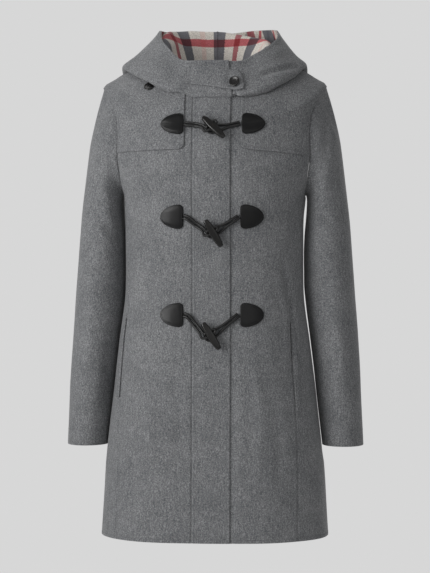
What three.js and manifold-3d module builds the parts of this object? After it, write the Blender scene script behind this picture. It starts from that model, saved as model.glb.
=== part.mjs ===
import * as THREE from 'three';
import Module from 'manifold-3d';

const wasm = await Module();
wasm.setup();

// Millimetres. +X is the viewer's right, +Y the back, +Z up.
// The origin is midway between the two points where the neck seam meets the shoulder seams.
// "right" and "left" in names are the wearer's, so "right" pieces lie on the -X side.

const COAT_LENGTH = 857;
const CLOTH = 2.4;
const FLAP_CLOTH = 2.2;
const HOOD_CLOTH = 1.8;
const LINING_CLOTH = 1.0;
const SEAM_HALF_GAP = 0.15;
const LAYER_GAP = 0.3;

// Rings round the body. "height" is where a ring passes the side of the coat,
// "front" and "back" are its heights at the middle of the front and of the back.
const RING_COLUMNS = ['height', 'front', 'back', 'half', 'chest', 'rear', 'square'];
const RINGS = [
  [-COAT_LENGTH, -COAT_LENGTH, -COAT_LENGTH, 203.4, 135, 125, 2.45],
  [-703, -703, -703, 194, 130, 120, 2.45],
  [-618, -618, -618, 184.5, 126, 117, 2.45],
  [-510, -510, -510, 172, 120, 108, 2.45],
  [-418, -418, -418, 161, 116, 99, 2.45],
  [-350, -350, -350, 160.5, 117, 99, 2.45],
  [-252, -252, -252, 163, 125, 112, 2.4],
  [-232, -232, -232, 171.8, 124.5, 113.5, 2.3],
  [-215, -215, -215, 180, 123.5, 114.5, 2.2],
  [-182, -182, -182, 194.6, 122, 115, 2.05],
  [-153, -165, -154, 196.6, 121, 114, 2],
  [-120, -154.5, -130, 196, 118.5, 111, 2],
  [-86, -144, -112, 192.5, 115, 106, 2],
  [-65, -138, -101, 194.5, 113, 102, 2],
  [-55, -135, -95, 199, 112, 100, 2],
  [-42, -122, -80, 180, 110, 95, 2],
  [-31, -112, -65, 163, 108, 88, 2],
  [-17, -98, -45, 130, 103, 78, 2],
  [0, -83, -20, 85, 97, 62, 2],
];
const RING_TILT = 1.35;

// Large soft folds that fall from chest and shoulder blades to the hem.
const BODY_FOLD_COLUMNS = ['angle', 'drift', 'spread', 'swell', 'top', 'bottom'];
const BODY_FOLDS = [
  [-38, -4, 13, 3.6, -330, -700],
  [-66, -3, 9, -2.2, -420, -760],
  [37, 5, 12, 3.2, -300, -640],
  [58, -3, 9, -3.0, -270, -520],
  [150, 4, 13, 3.4, -300, -700],
  [-157, -5, 12, 3.8, -340, -720],
  [176, 2, 10, -2.6, -380, -760],
];

const ARMHOLE_TOP = -55;
const ARMHOLE_BOTTOM = -252;
const ARMHOLE_FRONT = 62;
const ARMHOLE_BACK = 60;
const ARMHOLE_SQUARE = 2.3;

// How far in front of the side line the side-front seams run, and behind it the side-back seams.
const RIGHT_SEAM_LEAD = [[-COAT_LENGTH, 86], [-774, 85], [-606, 68], [-468, 59], [-350, 50]];
const RIGHT_SEAM_TOP_LEAD = 40;
const LEFT_SEAM_LEAD = [[-COAT_LENGTH, 103], [-628, 90], [-478, 78], [-425, 69], [-379, 58], [-276, 38]];
const LEFT_SEAM_TOP_LEAD = 35;
const BACK_SEAM_LAG = [[-COAT_LENGTH, 76], [-600, 65], [-400, 50], [-300, 45]];
const BACK_SEAM_TOP_LAG = 40;

const LOW_ROWS = [-COAT_LENGTH, -780, -705, -632, -560, -505, -470, -420, -355, -300];
const ARMHOLE_ROWS = [-150, -120, -95, -76, -64, -57.5, ARMHOLE_TOP];
const SHOULDER_ROWS = [-42, -31, -17, -5, 0];

const PLACKET_HALF = 33;
const PLACKET_RISE = 1.6;
const RISE_START = -33;
const RISE_END = -10;
const UNDERLAP_EDGE = -8;
const UNDERLAP_DIP = -1.1;
const DIP_START = 37;
const DIP_END = 50;

const YOKE_RIGHT_EDGE = 47;
const YOKE_LEFT_EDGE = 51;
const YOKE_FRONT_BOTTOM = -173;
const YOKE_RIGHT_OUTER_BOTTOM = -177;
const YOKE_LEFT_OUTER_BOTTOM = -185;
const YOKE_CORNER = 8;
const YOKE_SEWN_GAP = 0.4;
const YOKE_SEWN_THICK = 1.3;
const YOKE_TIP_BACK = 0.25;
const YOKE_TIP_RISE = 0.4;
const YOKE_OUT = LAYER_GAP + FLAP_CLOTH;

const degrees = angle => (angle * Math.PI) / 180;
const clamp01 = value => Math.min(1, Math.max(0, value));
const mix = (a, b, part) => a + (b - a) * part;
const smooth = value => {
  const part = clamp01(value);
  return part * part * (3 - 2 * part);
};

// A smooth curve through a table that never swings past its values.
function curveThrough(knots, values) {
  const last = knots.length - 1;
  const steps = [];
  const rises = [];
  for (let i = 0; i < last; i++) {
    steps.push(knots[i + 1] - knots[i]);
    rises.push((values[i + 1] - values[i]) / steps[i]);
  }
  const slopes = values.map((unused, i) => {
    if (i === 0) return rises[0];
    if (i === last) return rises[last - 1];
    if (rises[i - 1] * rises[i] <= 0) return 0;
    const before = 2 * steps[i] + steps[i - 1];
    const after = steps[i] + 2 * steps[i - 1];
    return (before + after) / (before / rises[i - 1] + after / rises[i]);
  });
  return at => {
    if (at <= knots[0]) return values[0] + slopes[0] * (at - knots[0]);
    if (at >= knots[last]) return values[last] + slopes[last] * (at - knots[last]);
    let i = 0;
    while (at > knots[i + 1]) i++;
    const step = steps[i];
    const t = (at - knots[i]) / step;
    const t2 = t * t;
    const t3 = t2 * t;
    return values[i] * (2 * t3 - 3 * t2 + 1) + slopes[i] * step * (t3 - 2 * t2 + t)
      + values[i + 1] * (3 * t2 - 2 * t3) + slopes[i + 1] * step * (t3 - t2);
  };
}

function readTable(columns, rows) {
  const sorted = [...rows].sort((a, b) => a[0] - b[0]);
  const knots = sorted.map(row => row[0]);
  const table = {};
  columns.forEach((name, i) => {
    table[name] = curveThrough(knots, sorted.map(row => row[i]));
  });
  return table;
}

const ring = readTable(RING_COLUMNS, RINGS);

function bodyFold(height, angle) {
  const turn = (angle * 180) / Math.PI;
  let total = 0;
  for (const [centre, drift, spread, swell, top, bottom] of BODY_FOLDS) {
    const fall = smooth((top - height) / (top - bottom));
    const hang = clamp01((top - height) / COAT_LENGTH);
    let away = turn - centre - drift * hang;
    away -= 360 * Math.round(away / 360);
    total += swell * fall * Math.exp(-(away * away) / (2 * spread * spread));
  }
  return total;
}

function coatPoint(height, angle) {
  const sine = Math.sin(angle);
  const cosine = Math.cos(angle);
  const inFront = cosine > 0;
  const depth = inFront ? ring.chest(height) : ring.rear(height);
  const power = ring.square(height);
  const reach = (Math.abs(sine / ring.half(height)) ** power + Math.abs(cosine / depth) ** power)
    ** (-1 / power);
  const edge = inFront ? ring.front(height) : ring.back(height);
  const z = height + (edge - height) * Math.abs((reach * cosine) / depth) ** RING_TILT;
  const swollen = reach + bodyFold(height, angle);
  return new THREE.Vector3(swollen * sine, -swollen * cosine, z);
}

function coatNormal(height, angle) {
  const alongHeight = coatPoint(height + 0.5, angle).sub(coatPoint(height - 0.5, angle));
  const round = coatPoint(height, angle + 0.004).sub(coatPoint(height, angle - 0.004));
  return round.cross(alongHeight).normalize();
}

function angleAtX(height, x) {
  const power = ring.square(height);
  const share = Math.min(1, Math.abs(x) / ring.half(height));
  return Math.atan2(x, ring.chest(height) * (1 - share ** power) ** (1 / power));
}

function angleAtY(height, y, side) {
  const power = ring.square(height);
  const depth = y < 0 ? ring.chest(height) : ring.rear(height);
  const share = Math.min(1, Math.abs(y) / depth);
  return Math.atan2(side * ring.half(height) * (1 - share ** power) ** (1 / power), -y);
}

// The ring and angle of the point of the coat's front that is seen at x, z.
function frontSpot(x, z) {
  let low = -COAT_LENGTH;
  let high = 0;
  for (let i = 0; i < 40; i++) {
    const middle = (low + high) / 2;
    if (coatPoint(middle, angleAtX(middle, x)).z > z) high = middle;
    else low = middle;
  }
  const height = (low + high) / 2;
  return { height, angle: angleAtX(height, x) };
}

const armholeMiddle = (ARMHOLE_TOP + ARMHOLE_BOTTOM) / 2;
const armholeReach = (ARMHOLE_TOP - ARMHOLE_BOTTOM) / 2;

function armholeDepth(height, back) {
  const share = Math.min(1, Math.abs((height - armholeMiddle) / armholeReach));
  return (back ? ARMHOLE_BACK : -ARMHOLE_FRONT) * (1 - share ** ARMHOLE_SQUARE) ** (1 / ARMHOLE_SQUARE);
}

function armholeFloor(y) {
  const share = Math.abs(y) / (y > 0 ? ARMHOLE_BACK : ARMHOLE_FRONT);
  return armholeMiddle - armholeReach * (1 - share ** ARMHOLE_SQUARE) ** (1 / ARMHOLE_SQUARE);
}

// Closed walls from an outer and an inner grid of points.
function wallGeometry(outer, inner) {
  const rows = outer.length;
  const columns = outer[0].length;
  const points = [];
  for (const layer of [outer, inner]) {
    for (const row of layer) {
      for (const point of row) points.push(point.x, point.y, point.z);
    }
  }
  const shift = rows * columns;
  const at = (r, c) => r * columns + c;
  const faces = [];
  const quad = (a, b, c, d) => faces.push(a, b, c, a, c, d);
  for (let r = 0; r < rows - 1; r++) {
    for (let c = 0; c < columns - 1; c++) {
      quad(at(r, c), at(r, c + 1), at(r + 1, c + 1), at(r + 1, c));
      quad(shift + at(r, c), shift + at(r + 1, c), shift + at(r + 1, c + 1), shift + at(r, c + 1));
    }
  }
  const edge = (a, b) => quad(b, a, shift + a, shift + b);
  for (let c = 0; c < columns - 1; c++) {
    edge(at(0, c), at(0, c + 1));
    edge(at(rows - 1, c + 1), at(rows - 1, c));
  }
  for (let r = 0; r < rows - 1; r++) {
    edge(at(r + 1, 0), at(r, 0));
    edge(at(r, columns - 1), at(r + 1, columns - 1));
  }
  return solidGeometry(points, faces);
}

// A tube wall: the grid's columns close on themselves.
function tubeWallGeometry(outer, inner) {
  const rows = outer.length;
  const columns = outer[0].length;
  const points = [];
  for (const layer of [outer, inner]) {
    for (const row of layer) {
      for (const point of row) points.push(point.x, point.y, point.z);
    }
  }
  const shift = rows * columns;
  const at = (r, c) => r * columns + (c % columns);
  const faces = [];
  const quad = (a, b, c, d) => faces.push(a, b, c, a, c, d);
  for (let c = 0; c < columns; c++) {
    for (let r = 0; r < rows - 1; r++) {
      quad(at(r, c), at(r, c + 1), at(r + 1, c + 1), at(r + 1, c));
      quad(shift + at(r, c), shift + at(r + 1, c), shift + at(r + 1, c + 1), shift + at(r, c + 1));
    }
    quad(at(0, c + 1), at(0, c), shift + at(0, c), shift + at(0, c + 1));
    quad(at(rows - 1, c), at(rows - 1, c + 1), shift + at(rows - 1, c + 1), shift + at(rows - 1, c));
  }
  return solidGeometry(points, faces);
}

// Turns the faces outward when the grid was laid the other way round.
function solidGeometry(points, faces) {
  let volume = 0;
  const corner = i => new THREE.Vector3(points[3 * i], points[3 * i + 1], points[3 * i + 2]);
  for (let i = 0; i < faces.length; i += 3) {
    const a = corner(faces[i]);
    volume += a.dot(corner(faces[i + 1]).cross(corner(faces[i + 2])));
  }
  if (volume < 0) {
    for (let i = 0; i < faces.length; i += 3) {
      [faces[i], faces[i + 1]] = [faces[i + 1], faces[i]];
    }
  }
  const geometry = new THREE.BufferGeometry();
  geometry.setAttribute('position', new THREE.Float32BufferAttribute(points, 3));
  geometry.setIndex(faces);
  return geometry;
}

// Draws the edge of a grid back from a seam.
function pullIn(grid, edges) {
  const rows = grid.length;
  const columns = grid[0].length;
  const toward = (point, neighbour, distance) => {
    const step = neighbour.clone().sub(point);
    return point.clone().add(step.setLength(distance));
  };
  if (edges.sides) {
    for (const row of grid) {
      const first = toward(row[0], row[1], edges.sides);
      const last = toward(row[columns - 1], row[columns - 2], edges.sides);
      row[0] = first;
      row[columns - 1] = last;
    }
  }
  if (edges.top) {
    for (let c = 0; c < columns; c++) {
      grid[rows - 1][c] = toward(grid[rows - 1][c], grid[rows - 2][c], edges.top);
    }
  }
}

const SEWN_EDGES = { sides: SEAM_HALF_GAP, top: SEAM_HALF_GAP };
const HOOD_EDGES = { sides: SEAM_HALF_GAP, top: 0 };
const FREE_EDGES = { sides: 0, top: 0 };
const YOKE_EDGES = { sides: 0.3, top: SEAM_HALF_GAP };

// A cloth wall on the coat. Each spot has a ring height, an angle and how far out its face lies.
function coatWall(spots, thickness, edges = SEWN_EDGES) {
  const layer = depth => spots.map(row => row.map(spot => {
    const out = (spot.out || 0) - depth * (spot.thick || thickness);
    return coatPoint(spot.height, spot.angle).addScaledVector(coatNormal(spot.height, spot.angle), out);
  }));
  const outer = layer(0);
  const inner = layer(1);
  pullIn(outer, edges);
  pullIn(inner, edges);
  return wallGeometry(outer, inner);
}

function seamLead(side) {
  const rows = side < 0 ? RIGHT_SEAM_LEAD : LEFT_SEAM_LEAD;
  const topLead = side < 0 ? RIGHT_SEAM_TOP_LEAD : LEFT_SEAM_TOP_LEAD;
  const meet = armholeFloor(-topLead);
  const table = readTable(['height', 'lead'], [...rows, [meet, topLead]]);
  return { meet, lead: table.lead };
}

const backMeet = armholeFloor(BACK_SEAM_TOP_LAG);
const backLag = readTable(['height', 'lag'], [...BACK_SEAM_LAG, [backMeet, BACK_SEAM_TOP_LAG]]).lag;

const frontOverlap = x => PLACKET_RISE * clamp01((x - RISE_START) / (RISE_END - RISE_START));
const frontUnderlap = x => UNDERLAP_DIP * (1 - smooth((x - DIP_START) / (DIP_END - DIP_START)));

const INNER_MEET_ROW = -237;
const INNER_MIDDLE_ROW = -268;

// Rows of a front, each with its height at the closing edge and at the outer edge.
function frontRows(side) {
  const { meet } = seamLead(side);
  const outerBottom = side < 0 ? YOKE_RIGHT_OUTER_BOTTOM : YOKE_LEFT_OUTER_BOTTOM;
  return [
    ...LOW_ROWS.map(height => [height, height]),
    [INNER_MIDDLE_ROW, (LOW_ROWS[LOW_ROWS.length - 1] + meet) / 2],
    [INNER_MEET_ROW, meet],
    [-218, -220],
    [-196, -200],
    [YOKE_FRONT_BOTTOM, outerBottom],
    ...ARMHOLE_ROWS.map(height => [height, height]),
    ...SHOULDER_ROWS.map(height => [height, height]),
  ];
}

function frontOuterAngle(side, height) {
  const { meet, lead } = seamLead(side);
  if (height <= meet + 0.01) return angleAtY(height, -lead(height), side);
  if (height < ARMHOLE_TOP) return angleAtY(height, armholeDepth(height, false), side);
  return side * degrees(90);
}

const RIGHT_FRONT_X = [-PLACKET_HALF, -YOKE_RIGHT_EDGE];
const LEFT_FRONT_X = [UNDERLAP_EDGE, 11, PLACKET_HALF, DIP_START, 43, YOKE_LEFT_EDGE];
const FRONT_COLUMNS = 7;

function frontSpots(side) {
  const fixed = side < 0 ? RIGHT_FRONT_X : LEFT_FRONT_X;
  return frontRows(side).map(([innerHeight, outerHeight]) => {
    const row = fixed.map(x => ({
      height: innerHeight,
      angle: angleAtX(innerHeight, x),
      out: side > 0 ? frontUnderlap(x) : 0,
    }));
    const startAngle = angleAtX(innerHeight, fixed[fixed.length - 1]);
    const endAngle = frontOuterAngle(side, outerHeight);
    for (let i = 1; i <= FRONT_COLUMNS; i++) {
      const part = i / FRONT_COLUMNS;
      row.push({ height: mix(innerHeight, outerHeight, part), angle: mix(startAngle, endAngle, part) });
    }
    return row;
  });
}

function frontPanel(side) {
  return coatWall(frontSpots(side), CLOTH);
}

const SIDE_COLUMNS = 7;

function sidePanel(side) {
  const { meet, lead } = seamLead(side);
  const topLead = side < 0 ? RIGHT_SEAM_TOP_LEAD : LEFT_SEAM_TOP_LEAD;
  const edgeAngle = (height, part) => {
    const front = angleAtY(height, -lead(Math.min(height, meet)), side);
    const back = angleAtY(height, backLag(Math.min(height, backMeet)), side);
    return mix(front, back, part);
  };
  const parts = Array.from({ length: SIDE_COLUMNS }, (unused, i) => i / (SIDE_COLUMNS - 1));
  const spots = LOW_ROWS.map(height => parts.map(part => ({ height, angle: edgeAngle(height, part) })));
  const top = parts.map(part => {
    const y = mix(-topLead, BACK_SEAM_TOP_LAG, part);
    const height = armholeFloor(y);
    return { height, angle: angleAtY(height, y, side) };
  });
  const lastLow = LOW_ROWS[LOW_ROWS.length - 1];
  spots.push(parts.map((part, i) => {
    const height = (lastLow + top[i].height) / 2;
    return { height, angle: edgeAngle(height, part) };
  }));
  spots.push(top);
  return coatWall(spots, CLOTH);
}

const BACK_COLUMNS = 13;
const BACK_ARMHOLE_ROWS = [-216, -196, -172, -150, -120, -95, -76, -64, -57.5, ARMHOLE_TOP];

function backRows() {
  const lastLow = LOW_ROWS[LOW_ROWS.length - 1];
  return [...LOW_ROWS, (lastLow + backMeet) / 2, backMeet, ...BACK_ARMHOLE_ROWS, ...SHOULDER_ROWS];
}

function backPanel() {
  const spots = backRows().map(height => {
    let edge = degrees(90);
    if (height <= backMeet + 0.01) edge = angleAtY(height, backLag(height), 1);
    else if (height < ARMHOLE_TOP) edge = angleAtY(height, armholeDepth(height, true), 1);
    return Array.from({ length: BACK_COLUMNS }, (unused, i) => ({
      height,
      angle: mix(edge, 2 * Math.PI - edge, i / (BACK_COLUMNS - 1)),
    }));
  });
  return coatWall(spots, CLOTH);
}

function placket() {
  const across = [-PLACKET_HALF, RISE_END, 11, PLACKET_HALF];
  const spots = frontRows(-1).map(([height]) => across.map(x => ({
    height,
    angle: angleAtX(height, x),
    out: frontOverlap(x),
  })));
  return coatWall(spots, FLAP_CLOTH);
}

// A flap sewn into the armhole and shoulder seams that covers the top of a front.
function yoke(side) {
  const skipped = (side < 0 ? RIGHT_FRONT_X : LEFT_FRONT_X).length - 1;
  const rows = frontSpots(side);
  const bottom = rows.length - ARMHOLE_ROWS.length - SHOULDER_ROWS.length - 1;
  const spots = rows.slice(bottom, rows.length - 1).map(row => row.slice(skipped).map(spot => ({
    height: spot.height,
    angle: spot.angle,
    out: YOKE_OUT,
  })));
  const corner = spots[0][0];
  corner.height += YOKE_CORNER * 0.4;
  corner.angle += side * degrees(2);
  for (const row of spots) {
    const sewn = row[row.length - 1];
    const beside = row[row.length - 2];
    const atTip = clamp01((sewn.height + 76) / 8) * clamp01((-50 - sewn.height) / 4);
    sewn.height = mix(sewn.height, beside.height, YOKE_TIP_BACK * atTip);
    sewn.angle = mix(sewn.angle, beside.angle, YOKE_TIP_BACK * atTip);
    sewn.out = YOKE_SEWN_GAP + YOKE_SEWN_THICK + YOKE_TIP_RISE * atTip;
    sewn.thick = YOKE_SEWN_THICK;
  }
  return coatWall(spots, FLAP_CLOTH, YOKE_EDGES);
}

// Sleeve sections below the armhole, each from its outer to its inner point.
const SLEEVE_COLUMNS = ['order', 'outerX', 'outerZ', 'innerX', 'innerZ', 'middleY', 'halfDepth'];
const SLEEVE_SECTIONS = [
  [0, 226.5, -165, 167, -290, 8, 64],
  [1, 233, -215, 167.3, -325, 9, 66],
  [2, 240.5, -285, 167.3, -360, 10, 66],
  [3, 247, -366, 167.5, -405, 11, 64],
  [4, 252, -430, 168.8, -448, 10, 62],
  [5, 256.8, -500, 175, -505, 8, 60],
  [6, 261, -570, 182.6, -570, 5, 57],
  [7, 263.5, -635, 190.4, -635, 2, 53],
  [8, 266, -697, 197.5, -697, 0, 50],
];
const SLEEVE_ROWS = [0, 0.12, 0.26, 0.45, 0.7, 1, 2, 3, 4, 5.2, 6.8, 9];
const SLEEVE_START_GAP = 0.45;

// Folds of the sleeves: where round the arm, how wide, how deep and where along the arm.
const SLEEVE_FOLDS = [
  [70, 16, -2.6, 1.9, 0.7],
  [38, 18, 2.4, 3.4, 1.0],
  [115, 18, -2.8, 4.9, 0.8],
  [300, 20, -3.0, 4.4, 1.0],
  [250, 18, 2.2, 6.4, 1.1],
];

const sleeve = readTable(SLEEVE_COLUMNS, SLEEVE_SECTIONS);

function sleeveRound(order, turn) {
  const cosine = Math.cos(turn);
  const half = {
    x: (sleeve.outerX(order) - sleeve.innerX(order)) / 2,
    z: (sleeve.outerZ(order) - sleeve.innerZ(order)) / 2,
  };
  let swell = 0;
  for (const [round, spread, depth, place, length] of SLEEVE_FOLDS) {
    let away = (turn * 180) / Math.PI - round;
    away -= 360 * Math.round(away / 360);
    const along = (order + 1 - place) / length;
    swell += depth * Math.exp(-(away * away) / (2 * spread * spread) - along * along);
  }
  const point = new THREE.Vector3(
    (sleeve.outerX(order) + sleeve.innerX(order)) / 2 + half.x * cosine,
    sleeve.middleY(order) - sleeve.halfDepth(order) * Math.sin(turn),
    (sleeve.outerZ(order) + sleeve.innerZ(order)) / 2 + half.z * cosine,
  );
  point.x += swell * Math.max(0, cosine);
  point.y -= swell * Math.sin(turn);
  return point;
}

// The armhole seam on the wearer's left, with the cloth's normal and the way the sleeve leaves it.
function armholeStart(turn) {
  const cosine = Math.cos(turn);
  const sine = Math.sin(turn);
  const spot = at => {
    const height = armholeMiddle + armholeReach * Math.sign(Math.cos(at))
      * Math.abs(Math.cos(at)) ** (2 / ARMHOLE_SQUARE);
    const deep = Math.sin(at) > 0 ? -ARMHOLE_FRONT : ARMHOLE_BACK;
    const y = deep * Math.abs(Math.sin(at)) ** (2 / ARMHOLE_SQUARE);
    return { height, angle: angleAtY(height, y, 1) };
  };
  const here = spot(turn);
  const point = coatPoint(here.height, here.angle);
  const normal = coatNormal(here.height, here.angle);
  const before = spot(turn - 0.02);
  const after = spot(turn + 0.02);
  const along = coatPoint(after.height, after.angle).sub(coatPoint(before.height, before.angle));
  const away = normal.clone().cross(along).normalize();
  const lowness = (1 - cosine) / 2;
  return { point, normal, away, lowness, sine };
}

function sleevePoint(order, turn) {
  if (order >= 1) return sleeveRound(order - 1, turn);
  const { point, normal, away, lowness } = armholeStart(turn);
  const start = point.clone().addScaledVector(away, SLEEVE_START_GAP);
  const leave = away.clone().addScaledVector(normal, 1.2 * lowness).normalize();
  const end = sleeveRound(0, turn);
  const arrive = sleeveRound(0.4, turn).sub(end).normalize();
  const first = start.clone().addScaledVector(leave, mix(22, 5, lowness));
  const second = end.clone().addScaledVector(arrive, -mix(45, 14, lowness));
  const left = 1 - order;
  return start.multiplyScalar(left ** 3)
    .addScaledVector(first, 3 * left * left * order)
    .addScaledVector(second, 3 * left * order * order)
    .addScaledVector(end, order ** 3);
}

function sleeveNormal(order, turn) {
  if (order === 0) return armholeStart(turn).normal;
  const last = SLEEVE_SECTIONS.length;
  const early = Math.max(0, order - 0.02);
  const late = Math.min(last, order + 0.02);
  const along = sleevePoint(late, turn).sub(sleevePoint(early, turn));
  const round = sleevePoint(order, turn + 0.02).sub(sleevePoint(order, turn - 0.02));
  return along.cross(round).normalize().negate();
}

// Turns round the armhole that fall on the panels' own corners, so seam edges match.
function armholeTurns(side) {
  const { meet } = seamLead(side);
  const turnAt = (height, y) => {
    const rise = (height - armholeMiddle) / armholeReach;
    const deep = Math.abs(y) / (y > 0 ? ARMHOLE_BACK : ARMHOLE_FRONT);
    const cosine = Math.sign(rise) * Math.min(1, Math.abs(rise)) ** (ARMHOLE_SQUARE / 2);
    const turn = Math.atan2(Math.min(1, deep) ** (ARMHOLE_SQUARE / 2), cosine);
    return y > 0 ? 2 * Math.PI - turn : turn;
  };
  const turns = [];
  const fronts = frontRows(side).map(row => row[1]).filter(h => h > meet + 1 && h <= ARMHOLE_TOP);
  for (const height of fronts.reverse()) turns.push(turnAt(height, armholeDepth(height, false)));
  const topLead = side < 0 ? RIGHT_SEAM_TOP_LEAD : LEFT_SEAM_TOP_LEAD;
  for (let i = 0; i < SIDE_COLUMNS; i++) {
    const y = mix(-topLead, BACK_SEAM_TOP_LAG, i / (SIDE_COLUMNS - 1));
    turns.push(turnAt(armholeFloor(y), y));
  }
  for (const height of backRows().filter(h => h > backMeet + 1 && h < ARMHOLE_TOP)) {
    turns.push(turnAt(height, armholeDepth(height, true)));
  }
  return turns;
}

function sleevePiece(side) {
  const turns = armholeTurns(side);
  const count = turns.length;
  const layer = inward => SLEEVE_ROWS.map(order => turns.map((seamTurn, i) => {
    const even = (2 * Math.PI * i) / count;
    const turn = mix(seamTurn, even, smooth((order - 0.3) / 2.7) * 0.85);
    const point = sleevePoint(order, turn).addScaledVector(sleeveNormal(order, turn), -inward);
    point.x *= side;
    return point;
  }));
  return tubeWallGeometry(layer(0), layer(CLOTH));
}

// The hood lies folded on the shoulders. In each upright plane through the neck's middle its
// cloth runs from the neck seam over a roll, down to the fold and back up to the hood's rim.
const HOOD_COLUMNS = [
  'angle', 'rollOut', 'rollUp', 'foldReach', 'foldHeight', 'rimReach', 'rimHeight', 'belly',
];
const HOOD_PLANES = [
  [-210, 20, 64, 152, -139, 128, 62, 28],
  [-180, 16, 73, 142, -165, 134, 59, 34],
  [-150, 21, 72, 152, -138, 131, 58.5, 28],
  [-135, 33, 68, 157, -108, 126, 57, 22],
  [-120, 24, 60, 162, -74, 117, 55.5, 13],
  [-105, 15, 36, 166, -44, 106, 51.5, 5],
  [-90, 8, 12, 161, -25.2, 98, 45, 3],
  [-76, 7, 12, 145, -41, 97, 28, 5],
  [-62, 5, 12, 131.5, -56, 94.5, 14, 6],
  [-48, 4, 9, 120, -68, 90.3, -4.5, 6],
  [-38, 2, 4.5, 110.5, -75, 88.3, -14, 4],
  [-34, 1, 1.5, 103, -71, 87.2, -15.7, 2],
  [-29, 0, 1, 93, -64, 86.5, -16.2, 0],
  [-12, 0, 1, 95, -76, 82, -17, 0],
  [0, 0, 1, 96, -80, 80, -17, 0],
  [29, 0, 1, 91, -75, 85, -17.6, 0],
  [33.3, 1, 1.5, 95, -79, 86.5, -18, 1.5],
  [37, 2, 4, 109, -82, 87.5, -16, 4],
  [48, 4, 9, 127, -75, 91, -7, 7],
  [62, 6, 10, 140, -57.5, 101, 7, 7],
  [76, 8, 9, 150, -42, 110, 23, 5],
  [90, 8.5, 10, 158, -24, 114, 36, 3],
  [105, 15, 27, 163, -45, 117, 48, 6],
  [120, 24, 45, 161, -76, 125, 56, 14],
  [135, 28, 55, 157, -110, 128, 60.5, 22],
  [150, 20, 64, 152, -139, 128, 62, 28],
  [180, 16, 73, 142, -165, 134, 59, 34],
  [210, 21, 72, 152, -138, 131, 58.5, 28],
];
const FOLD_HALF = 5.2;
const HOOD_END = 10;
const HOOD_REST = YOKE_OUT + 1.2;
const BUTTON_TURN = -61;
const BUTTON_LIFT = 3.4;

const hood = readTable(HOOD_COLUMNS, HOOD_PLANES);

// Height of the coat's face under a point of the hood, for the hood's cloth to rest on.
function coatHeightUnder(turn, reach) {
  let low = -230;
  let high = 0;
  for (let i = 0; i < 24; i++) {
    const middle = (low + high) / 2;
    const point = coatPoint(middle, degrees(turn));
    if (Math.hypot(point.x, point.y) > reach) low = middle;
    else high = middle;
  }
  return { z: coatPoint(low, degrees(turn)).z, slope: Math.max(0.35, coatNormal(low, degrees(turn)).z) };
}

function restOnCoat(point, turn) {
  if (Math.abs(turn) > 112 || Math.abs(turn) < 18) return;
  const overButton = BUTTON_LIFT * Math.exp(-(((turn - BUTTON_TURN) / 9) ** 2));
  const under = coatHeightUnder(turn, point.x);
  point.y = Math.max(point.y, under.z + (HOOD_REST + overButton) / under.slope);
}

function hoodControls(turn, shy = 0) {
  const angle = degrees(turn);
  const seam = coatPoint(0, angle);
  const below = coatPoint(-2, angle);
  const neck = new THREE.Vector2(Math.hypot(seam.x, seam.y), seam.z);
  const under = new THREE.Vector2(Math.hypot(below.x, below.y), below.z);
  const leave = neck.clone().sub(under).normalize();
  const start = neck.clone().addScaledVector(leave, 0.2).add(new THREE.Vector2(0, 0.25));
  const roll = neck.clone().add(new THREE.Vector2(hood.rollOut(turn), hood.rollUp(turn)));
  const fold = new THREE.Vector2(hood.foldReach(turn), hood.foldHeight(turn));
  const rim = new THREE.Vector2(hood.rimReach(turn), hood.rimHeight(turn));
  const rise = rim.clone().sub(fold);
  const bulge = new THREE.Vector2(rise.y, -rise.x).normalize();
  const depth = clamp01((roll.y - fold.y) / 25);
  const foldHalf = FOLD_HALF + hood.belly(turn) * 0.18;
  const belly = hood.belly(turn);
  const between = (a, b, part) => a.clone().lerp(b, part);
  const lean = depth * Math.min(4, hood.rollOut(turn) * 0.5 + 1);
  const rollSide = between(start, roll, 0.55);
  rollSide.x -= lean;
  const afterRoll = between(roll, fold, 0.18);
  afterRoll.x += depth * 3;
  afterRoll.y += depth * 2;
  const nearFold = between(roll, fold, 0.86);
  nearFold.x -= depth * 1;
  const foldOut = fold.clone().add(new THREE.Vector2(depth * foldHalf, depth * foldHalf * 1.3 + 2));
  const halfway = between(roll, fold, 0.5);
  if (depth > 0.3) [afterRoll, halfway, nearFold, fold].forEach(point => restOnCoat(point, turn));
  const lowBelly = between(fold, rim, 0.36).addScaledVector(bulge, belly + depth * 2);
  const highBelly = between(fold, rim, 0.7).addScaledVector(bulge, belly * 0.75);
  const intoPouch = between(halfway, lowBelly, 0.5).sub(fold).normalize();
  nearFold.addScaledVector(halfway.clone().sub(nearFold).normalize(), shy * depth * 0.9);
  fold.addScaledVector(intoPouch, shy * depth);
  foldOut.addScaledVector(intoPouch, shy * depth * 0.9);
  const folded = [
    start, rollSide, roll, afterRoll, halfway, nearFold, fold, foldOut, lowBelly, highBelly, rim,
  ];
  const foldedness = smooth((hood.foldReach(turn) - neck.x) / 6);
  return folded.map((point, i) => between(start, rim, i / HOOD_END).lerp(point, foldedness));
}

function splineAt(points, place) {
  const last = points.length - 1;
  const i = Math.min(last - 1, Math.max(0, Math.floor(place)));
  const t = place - i;
  const a = points[Math.max(0, i - 1)];
  const b = points[i];
  const c = points[i + 1];
  const d = points[Math.min(last, i + 2)];
  const blend = key => 0.5 * (2 * b[key] + (c[key] - a[key]) * t
    + (2 * a[key] - 5 * b[key] + 4 * c[key] - d[key]) * t * t
    + (3 * b[key] - a[key] - 3 * c[key] + d[key]) * t * t * t);
  return new THREE.Vector2(blend('x'), blend('y'));
}

function hoodPoint(turn, place, shy = 0) {
  const flat = splineAt(hoodControls(turn, shy), place);
  const angle = degrees(turn);
  return new THREE.Vector3(flat.x * Math.sin(angle), -flat.x * Math.cos(angle), flat.y);
}

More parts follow.
